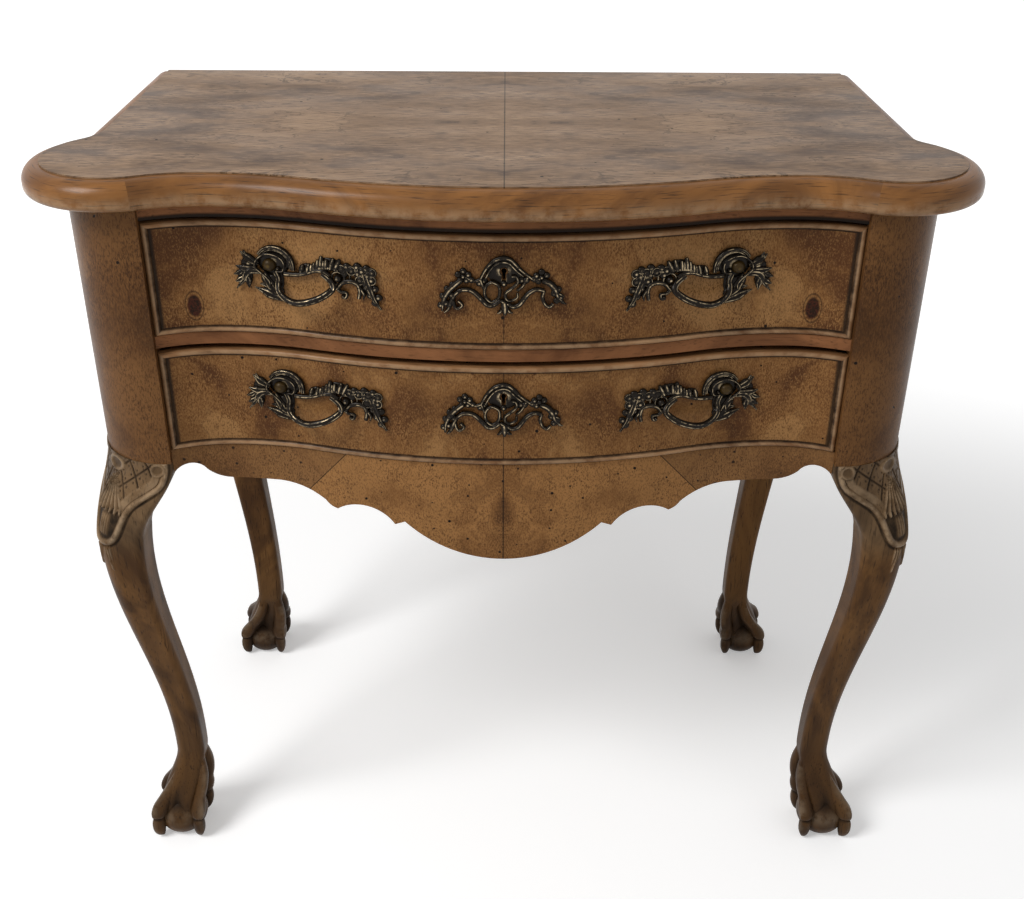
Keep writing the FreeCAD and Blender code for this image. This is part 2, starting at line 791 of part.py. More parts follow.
def leg_shape(corner_top, spigot_reach):
    """A whole leg with its foot and spigot, axis at the origin, outward along +X and +Y."""
    top = place["carcass_bottom"]
    knee = place["knee_height"]
    ankle = size["ankle_height"]
    ball = size["ball_radius"]
    collar = COLLAR_SHARE * ball
    heights = [collar, ankle - (ankle - collar) / 3]
    heights += [ankle + (knee - ankle) * step / SHAFT_STEPS for step in range(SHAFT_STEPS + 1)]
    heights += [knee + (top - knee) * step / KNEE_STEPS for step in range(1, KNEE_STEPS + 1)]
    rings = []
    for height in heights:
        inner, outer, corner = leg_section(height, corner_top)
        drift = foot_axis(max(0.0, (ankle - height) / (ankle - collar)) ** 2 / 3).x - foot_axis(0).x
        inner += drift / 2
        outer += 2 * drift
        rings.append(rounded_square(inner, outer, corner, size["ankle_width"] / 4, height))
    shaft = Part.makeLoft(rings, True, False)
    axis = foot_axis(1)
    flat = FLAT_SHARE * ball
    sphere = Part.makeSphere(ball, axis + UP * (ball - flat))
    turns = [45 + 90 * quarter for quarter in range(4)]
    claws = [
        claw(Vector(math.cos(math.radians(turn)), math.sin(math.radians(turn)), 0)) for turn in turns
    ]
    spigot_foot = Vector(spigot_reach, spigot_reach, top)
    spigot = Part.makeCylinder(size["spigot_radius"], size["spigot_length"], spigot_foot)
    whole = shaft.fuse([sphere] + claws + [spigot])
    floor = Part.makeBox(8 * ball, 8 * ball, ball, axis + Vector(-4 * ball, -4 * ball, -ball))
    return whole.cut(floor)


def leg(stem, axis, forward, corner_top, spigot_reach):
    """Place a right-hand leg with its outer face to the front or to the back, and keep the pair."""
    shape = leg_shape(corner_top, spigot_reach)
    if forward:
        shape = shape.mirror(Vector(), Vector(0, 1, 0))
    pair(computed(stem + "_form", shape, axis), stem)


rear_axis = Vector(place["side_inner"] - size["post_radius"], place["back_inner"] - size["post_radius"], 0)
rear_spigot_reach = rear_spigot.x - rear_axis.x
front_corner_top = size["post_radius"] - size["ankle_width"] / 8
rear_corner_top = size["ankle_width"] / 3
leg("front_leg", post_centre, True, front_corner_top, size["front_spigot_reach"])
leg("rear_leg", rear_axis, False, rear_corner_top, rear_spigot_reach)


# Drawers.
def front_normal(x):
    """Outward direction of the drawer front at a distance from the middle."""
    step = 0.5
    slope = (front_y(x + step) - front_y(x - step)) / (2 * step)
    return Vector(slope, -1, 0).normalize()


def leaf(root, tip, bend):
    """A flat leaf between two arcs, drawn in the XZ plane and given depth along Y."""
    line = tip - root
    side = Vector(line.z, 0, -line.x).normalize() * bend
    middle = (root + tip) / 2
    edges = [
        Part.Arc(root, middle + side, tip).toShape(),
        Part.Arc(tip, middle - side, root).toShape(),
    ]
    face = Part.Face(Part.Wire(edges))
    return face.extrude(Vector(0, -2 * size["front_reach"], 0))


def plate_band(thickness, base, height):
    """A shell of space of even thickness on the drawer front."""
    edges = [curve.toShape() for curve in front_band(thickness, 0, place["front_half"])]
    face = Part.Face(Part.Wire(Part.__sortEdges__(edges)))
    shell = face.extrude(UP * height)
    shell.translate(UP * base)
    return shell


def disc(x, z, radius):
    """A round column along Y for cutting a disc out of the plate band."""
    return Part.makeCylinder(radius, 2 * size["front_reach"], Vector(x, 0, z), Vector(0, -1, 0))


def on_front(x, z, proud):
    """A point that stands out from the drawer front by a given height."""
    return front_point(x) + front_normal(x) * proud + UP * z


def dome(x, z, radius, height):
    """A boss standing on the drawer front: a shallow ball cap on a neck a third of its height."""
    rise = 2 * height / 3
    ball = (radius ** 2 + rise ** 2) / (2 * rise)
    solid = Part.makeCylinder(radius, height).common(Part.makeSphere(ball, UP * (height - ball)))
    root = on_front(x, z, size["pull_plate"] / 2)
    solid.Placement = FreeCAD.Placement(root, FreeCAD.Rotation(UP, front_normal(x)))
    return solid


def bar(points, radius):
    """A round bar bent through three points."""
    path = Part.Wire([Part.Arc(*points).toShape()])
    start = path.Edges[0].tangentAt(path.Edges[0].FirstParameter)
    ring = Part.Wire([Part.Circle(points[0], start, radius).toShape()])
    return path.makePipeShell([ring], True, False)


# Places on a pull, as shares of its half-width across from its middle and up from the drawer's middle.
PULL_BOSS = (0.49, 0.20)
PULL_SMALL_BOSS = (-0.49, 0.13)
# Flat leaves: the boss they grow from, the root's height, the tip and half the breadth.
PULL_LEAVES = [
    (PULL_BOSS, 0.24, (0.45, 0.50), 0.12),
    (PULL_BOSS, 0.26, (0.87, 0.38), 0.09),
    (PULL_BOSS, 0.18, (0.97, 0.18), 0.09),
    (PULL_BOSS, 0.10, (1.00, -0.15), 0.10),
    (PULL_BOSS, 0.02, (0.72, -0.14), 0.08),
    (PULL_BOSS, 0.08, (0.34, -0.30), 0.09),
    (PULL_BOSS, 0.14, (-0.20, 0.22), 0.07),
    (PULL_SMALL_BOSS, 0.16, (0.10, 0.14), 0.07),
    (PULL_SMALL_BOSS, 0.18, (-0.34, 0.42), 0.10),
    (PULL_SMALL_BOSS, 0.19, (-0.56, 0.40), 0.09),
    (PULL_SMALL_BOSS, 0.15, (-1.00, 0.25), 0.10),
    (PULL_SMALL_BOSS, 0.11, (-1.00, -0.28), 0.08),
]


def pull_shape(middle):
    """A right-hand rococo pull in one casting: a big outer boss in a ring of leaves, a small inner boss
    with a hanging leaf, a leafy upper bar against the wood and a lower bar that stands proud."""
    reach = size["pull_width"] / 2

    def spot(across, up):
        return place["pull_centre_x"] + across * reach, middle + up * reach

    def flat(across, up):
        x, z = spot(across, up)
        return Vector(x, 0, z)

    flat_parts = [disc(*spot(*PULL_BOSS), 0.3 * reach), disc(*spot(*PULL_SMALL_BOSS), 0.2 * reach)]
    for boss, root_up, tip, breadth in PULL_LEAVES:
        flat_parts.append(leaf(flat(boss[0], root_up), flat(*tip), breadth * reach))
    plate = flat_parts[0].fuse(flat_parts[1:])
    plate = plate.common(plate_band(size["pull_plate"], middle - reach, 2 * reach))
    radius = size["pull_bar_radius"]
    low_bar = bar([on_front(*spot(0.40, 0.05), radius),
                   on_front(*spot(0.04, -0.20), size["pull_bar_proud"]),
                   on_front(*spot(-0.44, 0.03), radius)], radius)
    studs = []
    for boss in (PULL_BOSS, PULL_SMALL_BOSS):
        x, z = spot(*boss)
        length = size["front_thickness"] + size["nut_height"] + size["pull_plate"]
        root = on_front(x, z, size["pull_plate"] / 2)
        studs.append(Part.makeCylinder(size["pull_stud_radius"], length, root, front_normal(x) * -1))
    bosses = [dome(*spot(*PULL_BOSS), 0.19 * reach, 0.195 * reach),
              dome(*spot(*PULL_SMALL_BOSS), 0.12 * reach, 0.15 * reach)]
    return plate.fuse(bosses + [low_bar] + studs)


def pull_stations(middle):
    """Foot points of the four studs of a drawer's pulls, as distance from the middle and height."""
    reach = size["pull_width"] / 2
    return [
        (side * (place["pull_centre_x"] + across * reach), middle + up * reach)
        for side in (-1, 1)
        for across, up in (PULL_BOSS, PULL_SMALL_BOSS)
    ]


def stud_bores(middle):
    """Clearance bores for the studs through the drawer front."""
    bores = []
    for x, z in pull_stations(middle):
        normal = front_normal(x)
        start = front_point(x) + normal * size["pull_plate"] + UP * z
        length = size["front_thickness"] + 3 * size["pull_plate"]
        radius = size["pull_stud_radius"] + size["groove_play"]
        bores.append(Part.makeCylinder(radius, length, start, normal * -1))
    return bores


def nut_shapes(middle):
    """Square nuts on the studs, seated on the back of the drawer front."""
    nuts = []
    width = size["nut_width"]
    for x, z in pull_stations(middle):
        normal = front_normal(x)
        seat = on_front(x, z, -size["front_thickness"] - size["nut_play"])
        block = Part.makeBox(width, width, size["nut_height"], Vector(-width / 2, -width / 2, 0))
        bore = Part.makeCylinder(size["pull_stud_radius"], size["nut_height"])
        nut = block.cut(bore)
        nut.Placement = FreeCAD.Placement(seat, FreeCAD.Rotation(UP, normal * -1))
        nuts.append(nut)
    return Part.makeCompound(nuts)


# The right half of the escutcheon's edge, from the crest down to the hanging leaf: arcs through a middle
# point, in shares of its half-width.
ESCUTCHEON_CREST = (0.0, 0.62)
ESCUTCHEON_ARCS = [
    ((0.19, 0.52), (0.36, 0.34)),
    ((0.44, 0.30), (0.52, 0.36)),
    ((0.63, 0.42), (0.74, 0.30)),
    ((0.87, 0.08), (1.00, -0.16)),
    ((0.85, -0.26), (0.68, -0.22)),
    ((0.60, -0.13), (0.58, 0.0)),
    ((0.50, 0.06), (0.40, 0.0)),
    ((0.31, -0.13), (0.16, -0.20)),
    ((0.13, -0.33), (0.0, -0.36)),
]
ESCUTCHEON_EYE = (0.19, 0.05)
ESCUTCHEON_EYE_RADIUS = 0.105


def escutcheon_shape(middle):
    """A pierced plate with an arched crest, two leafy wings and a hanging leaf, bent to the front."""
    half = size["escutcheon_half"]
    curves = []
    for side in (1, -1):
        def at(spot):
            return Vector(side * spot[0] * half, 0, middle + spot[1] * half)

        start = ESCUTCHEON_CREST
        for through, end in ESCUTCHEON_ARCS:
            curves.append(Part.Arc(at(start), at(through), at(end)).toShape())
            start = end
    face = Part.Face(Part.Wire(Part.__sortEdges__(curves)))
    blank = face.extrude(Vector(0, -2 * size["front_reach"], 0))
    across, up = ESCUTCHEON_EYE
    eyes = [
        disc(side * across * half, middle + up * half, ESCUTCHEON_EYE_RADIUS * half) for side in (-1, 1)
    ]
    blank = blank.cut(eyes + keyhole(middle))
    return blank.common(plate_band(size["escutcheon_plate"], middle - half, 2 * half))


def keyhole(middle):
    """A round hole with a slot below it, from the front into the lock."""
    radius = size["keyhole_radius"]
    rise = middle + size["keyhole_rise"]
    depth = 2 * size["front_reach"]
    slot_length = 3 * radius
    slot_half = 0.6 * radius
    slot = Part.makeBox(2 * slot_half, depth, slot_length, Vector(-slot_half, -depth, rise - slot_length))
    return [disc(0, rise, radius), slot]


def bead_strip(label, base_formula, height_formula, half):
    """A cock-bead strip along the top or bottom edge of a drawer front."""
    curves = front_band(size["bead_proud"], -size["bead_rebate"], half)
    return extrude(label, outline(label + "_plan", curves, base_formula), height_formula)


def bead_end(label, base_formula, height_formula):
    """A cock-bead strip up the right-hand end of a drawer front."""
    right = place["front_half"]
    left = right - size["bead_width"]
    proud = size["bead_proud"]
    rebate = -size["bead_rebate"]
    curves = front_arcs(proud, left, right) + front_arcs(rebate, left, right) + [
        Part.LineSegment(front_point(right, proud), front_point(right, rebate)),
        Part.LineSegment(front_point(left, proud), front_point(left, rebate)),
    ]
    return extrude(label, outline(label + "_plan", curves, base_formula), height_formula)


def drawer_side(stem, base):
    """A right-hand side whose front end follows the back of the drawer front, grooved for the bottom."""
    right = place["front_half"]
    left = place["drawer_side_inner"]
    behind = -size["front_thickness"]
    end = place["drawer_end"]
    curves = front_arcs(behind, left, right) + [
        Part.LineSegment(front_point(right, behind), Vector(right, end, 0)),
        Part.LineSegment(Vector(right, end, 0), Vector(left, end, 0)),
        Part.LineSegment(Vector(left, end, 0), front_point(left, behind)),
    ]
    height = "Layout.%s_front_height - Sizes.drawer_side_drop" % stem
    blank = extrude(stem + "_side_blank", outline(stem + "_side_plan", curves, base), height)
    groove = board(
        stem + "_side_groove",
        ("Layout.drawer_side_inner", "-Sizes.front_reach", base + " + Sizes.drawer_bottom_rise"),
        ("Sizes.groove_depth", "Sizes.front_reach + Layout.drawer_end", "Sizes.drawer_bottom_thickness"),
    )
    return combine("Part::Cut", stem + "_side", blank, groove)


def drawer(stem):
    """One drawer with its beads, box, pulls, escutcheon and lock."""
    base = "Layout.%s_drawer_base" % stem
    height = "Layout.%s_front_height" % stem
    front_base = place[stem + "_drawer_base"]
    front_height = place[stem + "_front_height"]
    front_top = front_base + front_height
    middle = front_base + front_height / 2
    half = place["front_half"]
    bead = size["bead_width"]
    thickness = size["front_thickness"]

    strip_top = bead_strip(stem + "_bead_top", base + " + " + height + " - Sizes.bead_width",
                           "Sizes.bead_width", half)
    strip_bottom = bead_strip(stem + "_bead_bottom", base, "Sizes.bead_width", half)
    strip_end = bead_end(stem + "_bead", base + " + Sizes.bead_width", height + " - 2 * Sizes.bead_width")
    keep(strip_top, stem + "_bead_top")
    keep(strip_bottom, stem + "_bead_bottom")
    pair(strip_end, stem + "_bead")

    blank_plan = outline(stem + "_front_plan", front_band(0, -thickness, half), base)
    blank = extrude(stem + "_front_blank", blank_plan, height)
    rebates = fuse_all(stem + "_rebates", [strip_top, strip_bottom, strip_end,
                                           mirrored(strip_end, stem + "_bead_twin")])
    rebated = combine("Part::Cut", stem + "_rebated", blank, rebates)
    groove_z = base + " + Sizes.drawer_bottom_rise"
    groove_face = -thickness + size["groove_depth"]
    groove_curves = front_band(groove_face, -thickness, place["drawer_side_inner"] + size["groove_depth"])
    groove = extrude(stem + "_front_groove", outline(stem + "_front_groove_plan", groove_curves, groove_z),
                     "Sizes.drawer_bottom_thickness")
    lock_floor = front_top - size["lock_height"] - bead
    lock_y = place["lock_front"]
    recess = Part.makeBox(size["lock_width"], 2 * size["lock_depth"], size["lock_height"],
                          Vector(-size["lock_width"] / 2, lock_y, lock_floor))
    play = size["bolt_play"]
    way_width = size["bolt_width"] + 2 * play
    way_thickness = size["bolt_thickness"] + 2 * play
    way_corner = Vector(-way_width / 2, place["bolt_front"] - play, lock_floor)
    slot = Part.makeBox(way_width, way_thickness, front_height, way_corner)
    cutters = computed(stem + "_front_cutters",
                       recess.fuse([slot] + keyhole(middle) + stud_bores(middle)))
    cutters_all = fuse_all(stem + "_front_tools", [groove, cutters])
    keep(combine("Part::Cut", stem + "_drawer_front", rebated, cutters_all), stem + "_drawer_front")

    pair(drawer_side(stem, base), stem + "_drawer_side")
    keep(
        board(
            stem + "_drawer_back",
            ("-Layout.drawer_side_inner", "Layout.drawer_end - Sizes.drawer_back_thickness",
             base + " + Sizes.drawer_bottom_rise + Sizes.drawer_bottom_thickness"),
            ("2 * Layout.drawer_side_inner", "Sizes.drawer_back_thickness",
             height + " - 2 * Sizes.drawer_side_drop - Sizes.drawer_bottom_rise"
             " - Sizes.drawer_bottom_thickness"),
        ),
        stem + "_drawer_back",
    )
    bottom_half = place["drawer_side_inner"] + size["groove_depth"] - size["groove_play"]
    bottom_curves = front_slab(groove_face - size["groove_play"], bottom_half, place["drawer_end"])
    keep(
        extrude(stem + "_drawer_bottom", outline(stem + "_bottom_plan", bottom_curves, groove_z),
                "Sizes.drawer_bottom_thickness"),
        stem + "_drawer_bottom",
    )

    pair(computed(stem + "_pull", pull_shape(middle)), stem + "_pull")
    keep(computed(stem + "_nuts", nut_shapes(middle)), stem + "_pull_nuts")
    keep(computed(stem + "_plate", escutcheon_shape(middle)), stem + "_escutcheon")

    case = Part.makeBox(size["lock_width"], size["lock_depth"], size["lock_height"],
                        Vector(-size["lock_width"] / 2, lock_y, lock_floor))
    bolt_top = front_top - size["bolt_sink"]
    bolt_base = bolt_top - size["bolt_length"]
    channel = Part.makeBox(way_width, way_thickness, size["lock_height"],
                           Vector(way_corner.x, way_corner.y, bolt_base - play))
    keep(computed(stem + "_case", case.cut([channel] + keyhole(middle))), stem + "_lock_case")
    bolt = Part.makeBox(size["bolt_width"], size["bolt_thickness"], size["bolt_length"],
                        Vector(-size["bolt_width"] / 2, place["bolt_front"], bolt_base))
    keep(computed(stem + "_bolt", bolt), stem + "_lock_bolt")


drawer("upper")
drawer("lower")

doc.recompute()
failed = [item.Name for item in doc.Objects if "Invalid" in item.State or "Error" in item.State]
if failed:
    raise RuntimeError("objects that did not compute: " + ", ".join(failed))
for piece in pieces:
    if piece.Shape.isNull() or not piece.Shape.isValid() or not piece.Shape.Solids:
        raise RuntimeError("bad shape: " + piece.Label)

os.makedirs("parts", exist_ok=True)
for piece in pieces:
    piece.Shape.exportStep("parts/" + piece.Label + ".step")
print(len(pieces), "pieces written")
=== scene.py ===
# %% [markdown]
# # A serpentine chest of two drawers
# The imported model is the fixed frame: every board already has its true size and place in metres, with the
# front towards -Y and the floor at z = 0. What follows dresses that frame: carved legs, mouldings, beads and
# cast pulls are worked out as surfaces, and everything else gets its finish.

# %% Load the frame
import math

import bmesh
import bpy
import numpy as np
from mathutils import Matrix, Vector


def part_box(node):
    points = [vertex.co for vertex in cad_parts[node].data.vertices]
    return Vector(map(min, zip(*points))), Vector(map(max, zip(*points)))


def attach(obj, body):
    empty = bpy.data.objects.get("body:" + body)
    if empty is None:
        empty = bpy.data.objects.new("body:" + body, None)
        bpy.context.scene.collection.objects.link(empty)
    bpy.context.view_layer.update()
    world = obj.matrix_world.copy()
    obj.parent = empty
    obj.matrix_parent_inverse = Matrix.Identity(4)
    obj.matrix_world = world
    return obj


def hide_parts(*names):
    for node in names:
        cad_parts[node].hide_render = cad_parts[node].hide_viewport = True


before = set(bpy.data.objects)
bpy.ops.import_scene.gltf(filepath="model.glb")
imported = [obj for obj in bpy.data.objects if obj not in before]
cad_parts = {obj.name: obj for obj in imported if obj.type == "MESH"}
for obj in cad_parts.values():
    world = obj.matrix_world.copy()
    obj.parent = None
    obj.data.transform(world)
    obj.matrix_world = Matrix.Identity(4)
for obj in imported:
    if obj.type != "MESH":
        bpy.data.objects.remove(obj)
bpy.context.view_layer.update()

# %% [markdown]
# ## One way to make every mesh
# A carved or cast piece could be modelled by hand from boxes and bevels, but worked out from a formula it
# changes as a whole when one number does. So a new piece is one or more sheets. A sheet is a grid of points
# with a flat coordinate in metres for each point, so that grain can follow the surface, and two marks: how
# much a spot is raised, where it wears pale and on some pieces takes a painted highlight, and how much it is
# sunk, where dirt gathers and on some pieces painted shade falls. Sheets that meet are merged, which closes
# seams and poles.

# %% Sheets
def sheet(points, flat=None, raised=0.0, sunk=0.0):
    """A grid of rows x columns points, its flat coordinates and its two marks."""
    rows, columns = points.shape[:2]
    if flat is None:
        flat = np.zeros((rows, columns, 2))
    marks = [np.broadcast_to(mark, (rows, columns)) for mark in (raised, sunk)]
    return points, flat, marks[0], marks[1]


def grid_quads(rows, columns, start):
    """Corner numbers of the quads between neighbouring rows and columns."""
    corner = np.arange(rows * columns).reshape(rows, columns) + start
    quads = [corner[:-1, :-1], corner[:-1, 1:], corner[1:, 1:], corner[1:, :-1]]
    return np.stack(quads, axis=-1).reshape(-1, 4)


print("a grid of 3 x 4 points has", len(grid_quads(3, 4, 0)), "faces")

# %% Pieces
MERGE_DISTANCE = 2e-6
SHARP_ANGLE = math.radians(38)


def build_mesh(name, sheets):
    """Sheets joined into one closed mesh with outward normals and smooth shading up to a sharp angle."""
    quads = []
    start = 0
    for points, flat, raised, sunk in sheets:
        quads.append(grid_quads(*points.shape[:2], start))
        start += points.shape[0] * points.shape[1]
    quads = np.concatenate(quads)
    points, flat, raised, sunk = (
        np.concatenate([one[part].reshape(-1, width) for one in sheets])
        for part, width in ((0, 3), (1, 2), (2, 1), (3, 1))
    )
    mesh = bpy.data.meshes.new(name)
    mesh.from_pydata(points.tolist(), [], quads.tolist())
    layer = mesh.uv_layers.new(name="surface")
    layer.data.foreach_set("uv", flat[quads.ravel()].ravel())
    for label, values in (("raised", raised), ("sunk", sunk)):
        attribute = mesh.attributes.new(label, "FLOAT", "POINT")
        attribute.data.foreach_set("value", values.ravel().astype(np.float32))
    shape = bmesh.new()
    shape.from_mesh(mesh)
    bmesh.ops.remove_doubles(shape, verts=shape.verts, dist=MERGE_DISTANCE)
    bmesh.ops.dissolve_degenerate(shape, edges=shape.edges, dist=MERGE_DISTANCE)
    bmesh.ops.recalc_face_normals(shape, faces=shape.faces)
    shape.to_mesh(mesh)
    shape.free()
    mesh.polygons.foreach_set("use_smooth", np.ones(len(mesh.polygons), bool))
    mesh.set_sharp_from_angle(angle=SHARP_ANGLE)
    return mesh


def into_scene(name, data):
    """A new object in the scene, left at the origin."""
    made = bpy.data.objects.new(name, data)
    bpy.context.scene.collection.objects.link(made)
    return made


def place_piece(name, sheets, material, body, slot, *nodes):
    """Build a piece and put it on a body, in place of the frame's own nodes if it takes any."""
    mesh = build_mesh(name, sheets)
    mesh.materials.append(material)
    piece = into_scene(name, mesh)
    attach(piece, body)
    if nodes:
        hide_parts(*nodes)
    return mesh


print("points are merged within, metres:", MERGE_DISTANCE)


# %% Curves
def ease(share):
    """Smooth step from 0 to 1, flat at both ends."""
    share = np.clip(share, 0.0, 1.0)
    return share * share * (3 - 2 * share)


def smooth_path(knots, count):
    """A smooth curve through the knots: each stretch is the cubic that leaves and arrives along the line
    between the knots on either side. Extra columns, such as a thickness, are smoothed the same way."""
    knots = np.asarray(knots, float)
    padded = np.vstack([2 * knots[0] - knots[1], knots, 2 * knots[-1] - knots[-2]])
    position = np.linspace(0, len(knots) - 1 - 1e-9, count)
    index = position.astype(int)
    t = (position - index)[:, None]
    before, start, end, after = (padded[index + step] for step in range(4))
    bend = 2 * before - 5 * start + 4 * end - after
    twist = -before + 3 * start - 3 * end + after
    return 0.5 * (2 * start + (end - before) * t + bend * t ** 2 + twist * t ** 3)


def unit(arrows):
    """Directions of length 1."""
    return arrows / np.linalg.norm(arrows, axis=-1, keepdims=True)


def run_length(line):
    """Distance along a line of points, from its first."""
    return np.concatenate([[0], np.cumsum(np.linalg.norm(np.diff(line, axis=0), axis=1))])


def on_circle(centre, radius, turn):
    """Points on a circle, or on several about one centre, by radius and angle."""
    return np.stack([centre[0] + radius * np.cos(turn), centre[1] + radius * np.sin(turn)], axis=-1)


full_turn = np.linspace(0, 2 * math.pi, 65)
print("round a circle of 1 m across, metres:", run_length(on_circle((0, 0), 0.5, full_turn))[-1].round(4))


# %% Balls and closed ends
def sphere(centre, halves, rings, spokes):
    """A ball or squashed ball by two angles, and the cosine of the angle from its top."""
    polar = np.linspace(0, math.pi, rings)[:, None]
    turn = np.linspace(0, 2 * math.pi, spokes)[None, :]
    plan = on_circle((0, 0), np.sin(polar), turn)
    ball = np.concatenate([plan, np.broadcast_to(np.cos(polar), plan.shape[:2])[..., None]], axis=-1)
    return np.array(centre) + np.array(halves) * ball, np.cos(polar)


def close_ends(points, first, last):
    """Add a row at each end that is drawn together in one point."""
    row = points[:1].shape
    return np.concatenate([np.broadcast_to(first, row), points, np.broadcast_to(last, row)])


def repeat_ends(values):
    """Repeat the first and the last row, to go with closed ends."""
    return np.concatenate([values[:1], values, values[-1:]])


def strip_sheet(points, distance, girth, raised, sunk=0.0):
    """A strip closed at both ends. Its flat coordinates are the length along it and round its section."""
    grid = points.shape[:2]
    flat = np.stack([np.broadcast_to(distance[:, None], grid), np.broadcast_to(girth, grid)], axis=-1)
    middle = points.mean(axis=1, keepdims=True)
    return sheet(close_ends(points, middle[:1], middle[-1:]), repeat_ends(flat), raised, sunk)


print("top of a ball of 1 m across, metres:", sphere((0, 0, 0.5), (0.5, 0.5, 0.5), 13, 19)[0][..., 2].max())

# %% [markdown]
# ## Building finishes from nodes
# A finish could be a painted picture, but nodes work the colour out at any place, so it has no edges and
# stays sharp from near by. A few helpers keep the recipes short: the first adds a node and fills its
# sockets, those after it are the sums, mixes and noises that every recipe needs, and the last two make and
# use a group, which is a network with named inputs and outputs that several finishes can share.

# %% Node helpers
def add(tree, kind, inputs=None, **settings):
    """Add a node, set its options, and link or set its sockets."""
    made = tree.nodes.new(kind)
    for option, value in settings.items():
        setattr(made, option, value)
    for key, value in (inputs or {}).items():
        if isinstance(value, bpy.types.NodeSocket):
            tree.links.new(value, made.inputs[key])
        else:
            made.inputs[key].default_value = value
    return made


def maths(tree, operation, first, second=0.0, third=0.0, clamp=False):
    """One sum of up to three values or sockets."""
    made = add(tree, "ShaderNodeMath", {0: first, 1: second, 2: third}, operation=operation, use_clamp=clamp)
    return made.outputs[0]


def blend(tree, share, first, second, mode="MIX"):
    """Mix two colours by a share."""
    made = add(tree, "ShaderNodeMix", {0: share, 6: first, 7: second}, data_type="RGBA", blend_type=mode)
    return made.outputs[2]


def band(tree, value, low, high, out_low=0.0, out_high=1.0):
    """Stretch the values between low and high over a new range, with soft ends."""
    inputs = {0: value, 1: low, 2: high, 3: out_low, 4: out_high}
    return add(tree, "ShaderNodeMapRange", inputs, interpolation_type="SMOOTHSTEP").outputs[0]


def vectors(tree, operation, *inputs):
    """One sum of up to three vectors or sockets."""
    return add(tree, "ShaderNodeVectorMath", dict(enumerate(inputs)), operation=operation).outputs[0]


def noise(tree, vector, scale, detail=3.0, roughness=0.55, output="Fac"):
    """Soft random values over space, or three of them as a colour."""
    inputs = {"Vector": vector, "Scale": scale, "Detail": detail, "Roughness": roughness}
    return add(tree, "ShaderNodeTexNoise", inputs).outputs[output]


def mapped(tree, vector, **settings):
    """Scale, turn or move a coordinate; the settings have the names of the node's sockets."""
    return add(tree, "ShaderNodeMapping", {"Vector": vector, **settings}).outputs[0]


print("helpers:", *(helper.__name__ for helper in (add, maths, blend, band, vectors, noise, mapped)))


# %% Coordinates, colours and groups
def axes_of(tree, vector):
    """The x, y and z of a coordinate."""
    return add(tree, "ShaderNodeSeparateXYZ", {0: vector}).outputs


def mark_of(tree, name):
    """One of the two marks that a sheet carries, raised or sunk."""
    return add(tree, "ShaderNodeAttribute", attribute_name=name).outputs["Fac"]


def tone(red, green, blue):
    """A colour as a painter reads it, 0 to 255, turned into the linear values that light adds up in."""
    share = np.array([red, green, blue]) / 255.0
    linear = np.where(share <= 0.04045, share / 12.92, ((share + 0.055) / 1.055) ** 2.4)
    return (*linear.tolist(), 1.0)


def new_group(name, inputs, outputs):
    """A shader node group with its sockets, and the nodes at its two ends."""
    group = bpy.data.node_groups.new(name, "ShaderNodeTree")
    kinds = {"vector": "NodeSocketVector", "value": "NodeSocketFloat", "colour": "NodeSocketColor"}
    for label, kind in inputs:
        group.interface.new_socket(name=label, in_out="INPUT", socket_type=kinds[kind])
    for label, kind in outputs:
        group.interface.new_socket(name=label, in_out="OUTPUT", socket_type=kinds[kind])
    return group, group.nodes.new("NodeGroupInput").outputs, group.nodes.new("NodeGroupOutput").inputs


def use_group(tree, group, inputs):
    """Place a group in a tree with its inputs set or linked."""
    return add(tree, "ShaderNodeGroup", inputs, node_tree=group).outputs


print("a walnut brown in linear values:", np.round(tone(120, 84, 47), 4))

# %% [markdown]
# ## Burr walnut
# Burr veneer is sliced from a knotty swelling on the tree, so its figure swirls instead of running
# straight. A repeated tile of figure would show its seams across a wide top, so noises make it: one pushes
# the coordinates of a second about, which gives the swirl; thin contour lines of that noise are the growth
# lines round each bud; a fine drawn-out noise is the grain; a few cells of a spotted pattern are worm
# holes.

# %% Group: burr figure
HALF = (0.5, 0.5, 0.5)
SWIRL_PUSH = (2.6, 2.6, 2.6)
HOLE_CELLS = 60.0
GROWTH_LINE = (0.030, 0.018, 0.010, 1)
WORM_HOLE = (0.008, 0.004, 0.002, 1)
burr, given, out = new_group(
    "burr_figure",
    [("Vector", "vector"), ("Scale", "value"), ("Grain", "vector"), ("Pale", "colour"), ("Middle", "colour"),
     ("Dark", "colour"), ("Lines", "value"), ("Holes", "value"), ("Place", "vector")],
    [("Color", "colour"), ("Height", "value")],
)
at = vectors(burr, "MULTIPLY", given["Vector"], given["Scale"])
push = vectors(burr, "SUBTRACT", noise(burr, at, 0.55, 4.0, output="Color"), HALF)
swirl = vectors(burr, "MULTIPLY_ADD", push, SWIRL_PUSH, at)
figure = noise(burr, swirl, 0.9, 5.0, 0.56)
cloud = noise(burr, at, 0.33, 2.0)
shade = maths(burr, "ADD", figure, maths(burr, "MULTIPLY_ADD", cloud, 0.9, -0.45))
colour = blend(burr, band(burr, shade, 0.30, 0.50), given["Dark"], given["Middle"])
colour = blend(burr, band(burr, shade, 0.48, 0.66), colour, given["Pale"])
ripple = maths(burr, "PINGPONG", maths(burr, "MULTIPLY", figure, 9.0), 1.0)
line = maths(burr, "MULTIPLY", band(burr, ripple, 0.90, 1.0), given["Lines"])
colour = blend(burr, line, colour, GROWTH_LINE)
fine = noise(burr, vectors(burr, "MULTIPLY", given["Vector"], given["Grain"]), 1.0, 4.0, 0.72)
strong = band(burr, noise(burr, at, 1.6, 3.0), 0.38, 0.66, 0.5, 0.95)
speck = maths(burr, "MULTIPLY", band(burr, fine, 0.475, 0.62), strong)
colour = blend(burr, speck, colour, given["Dark"])
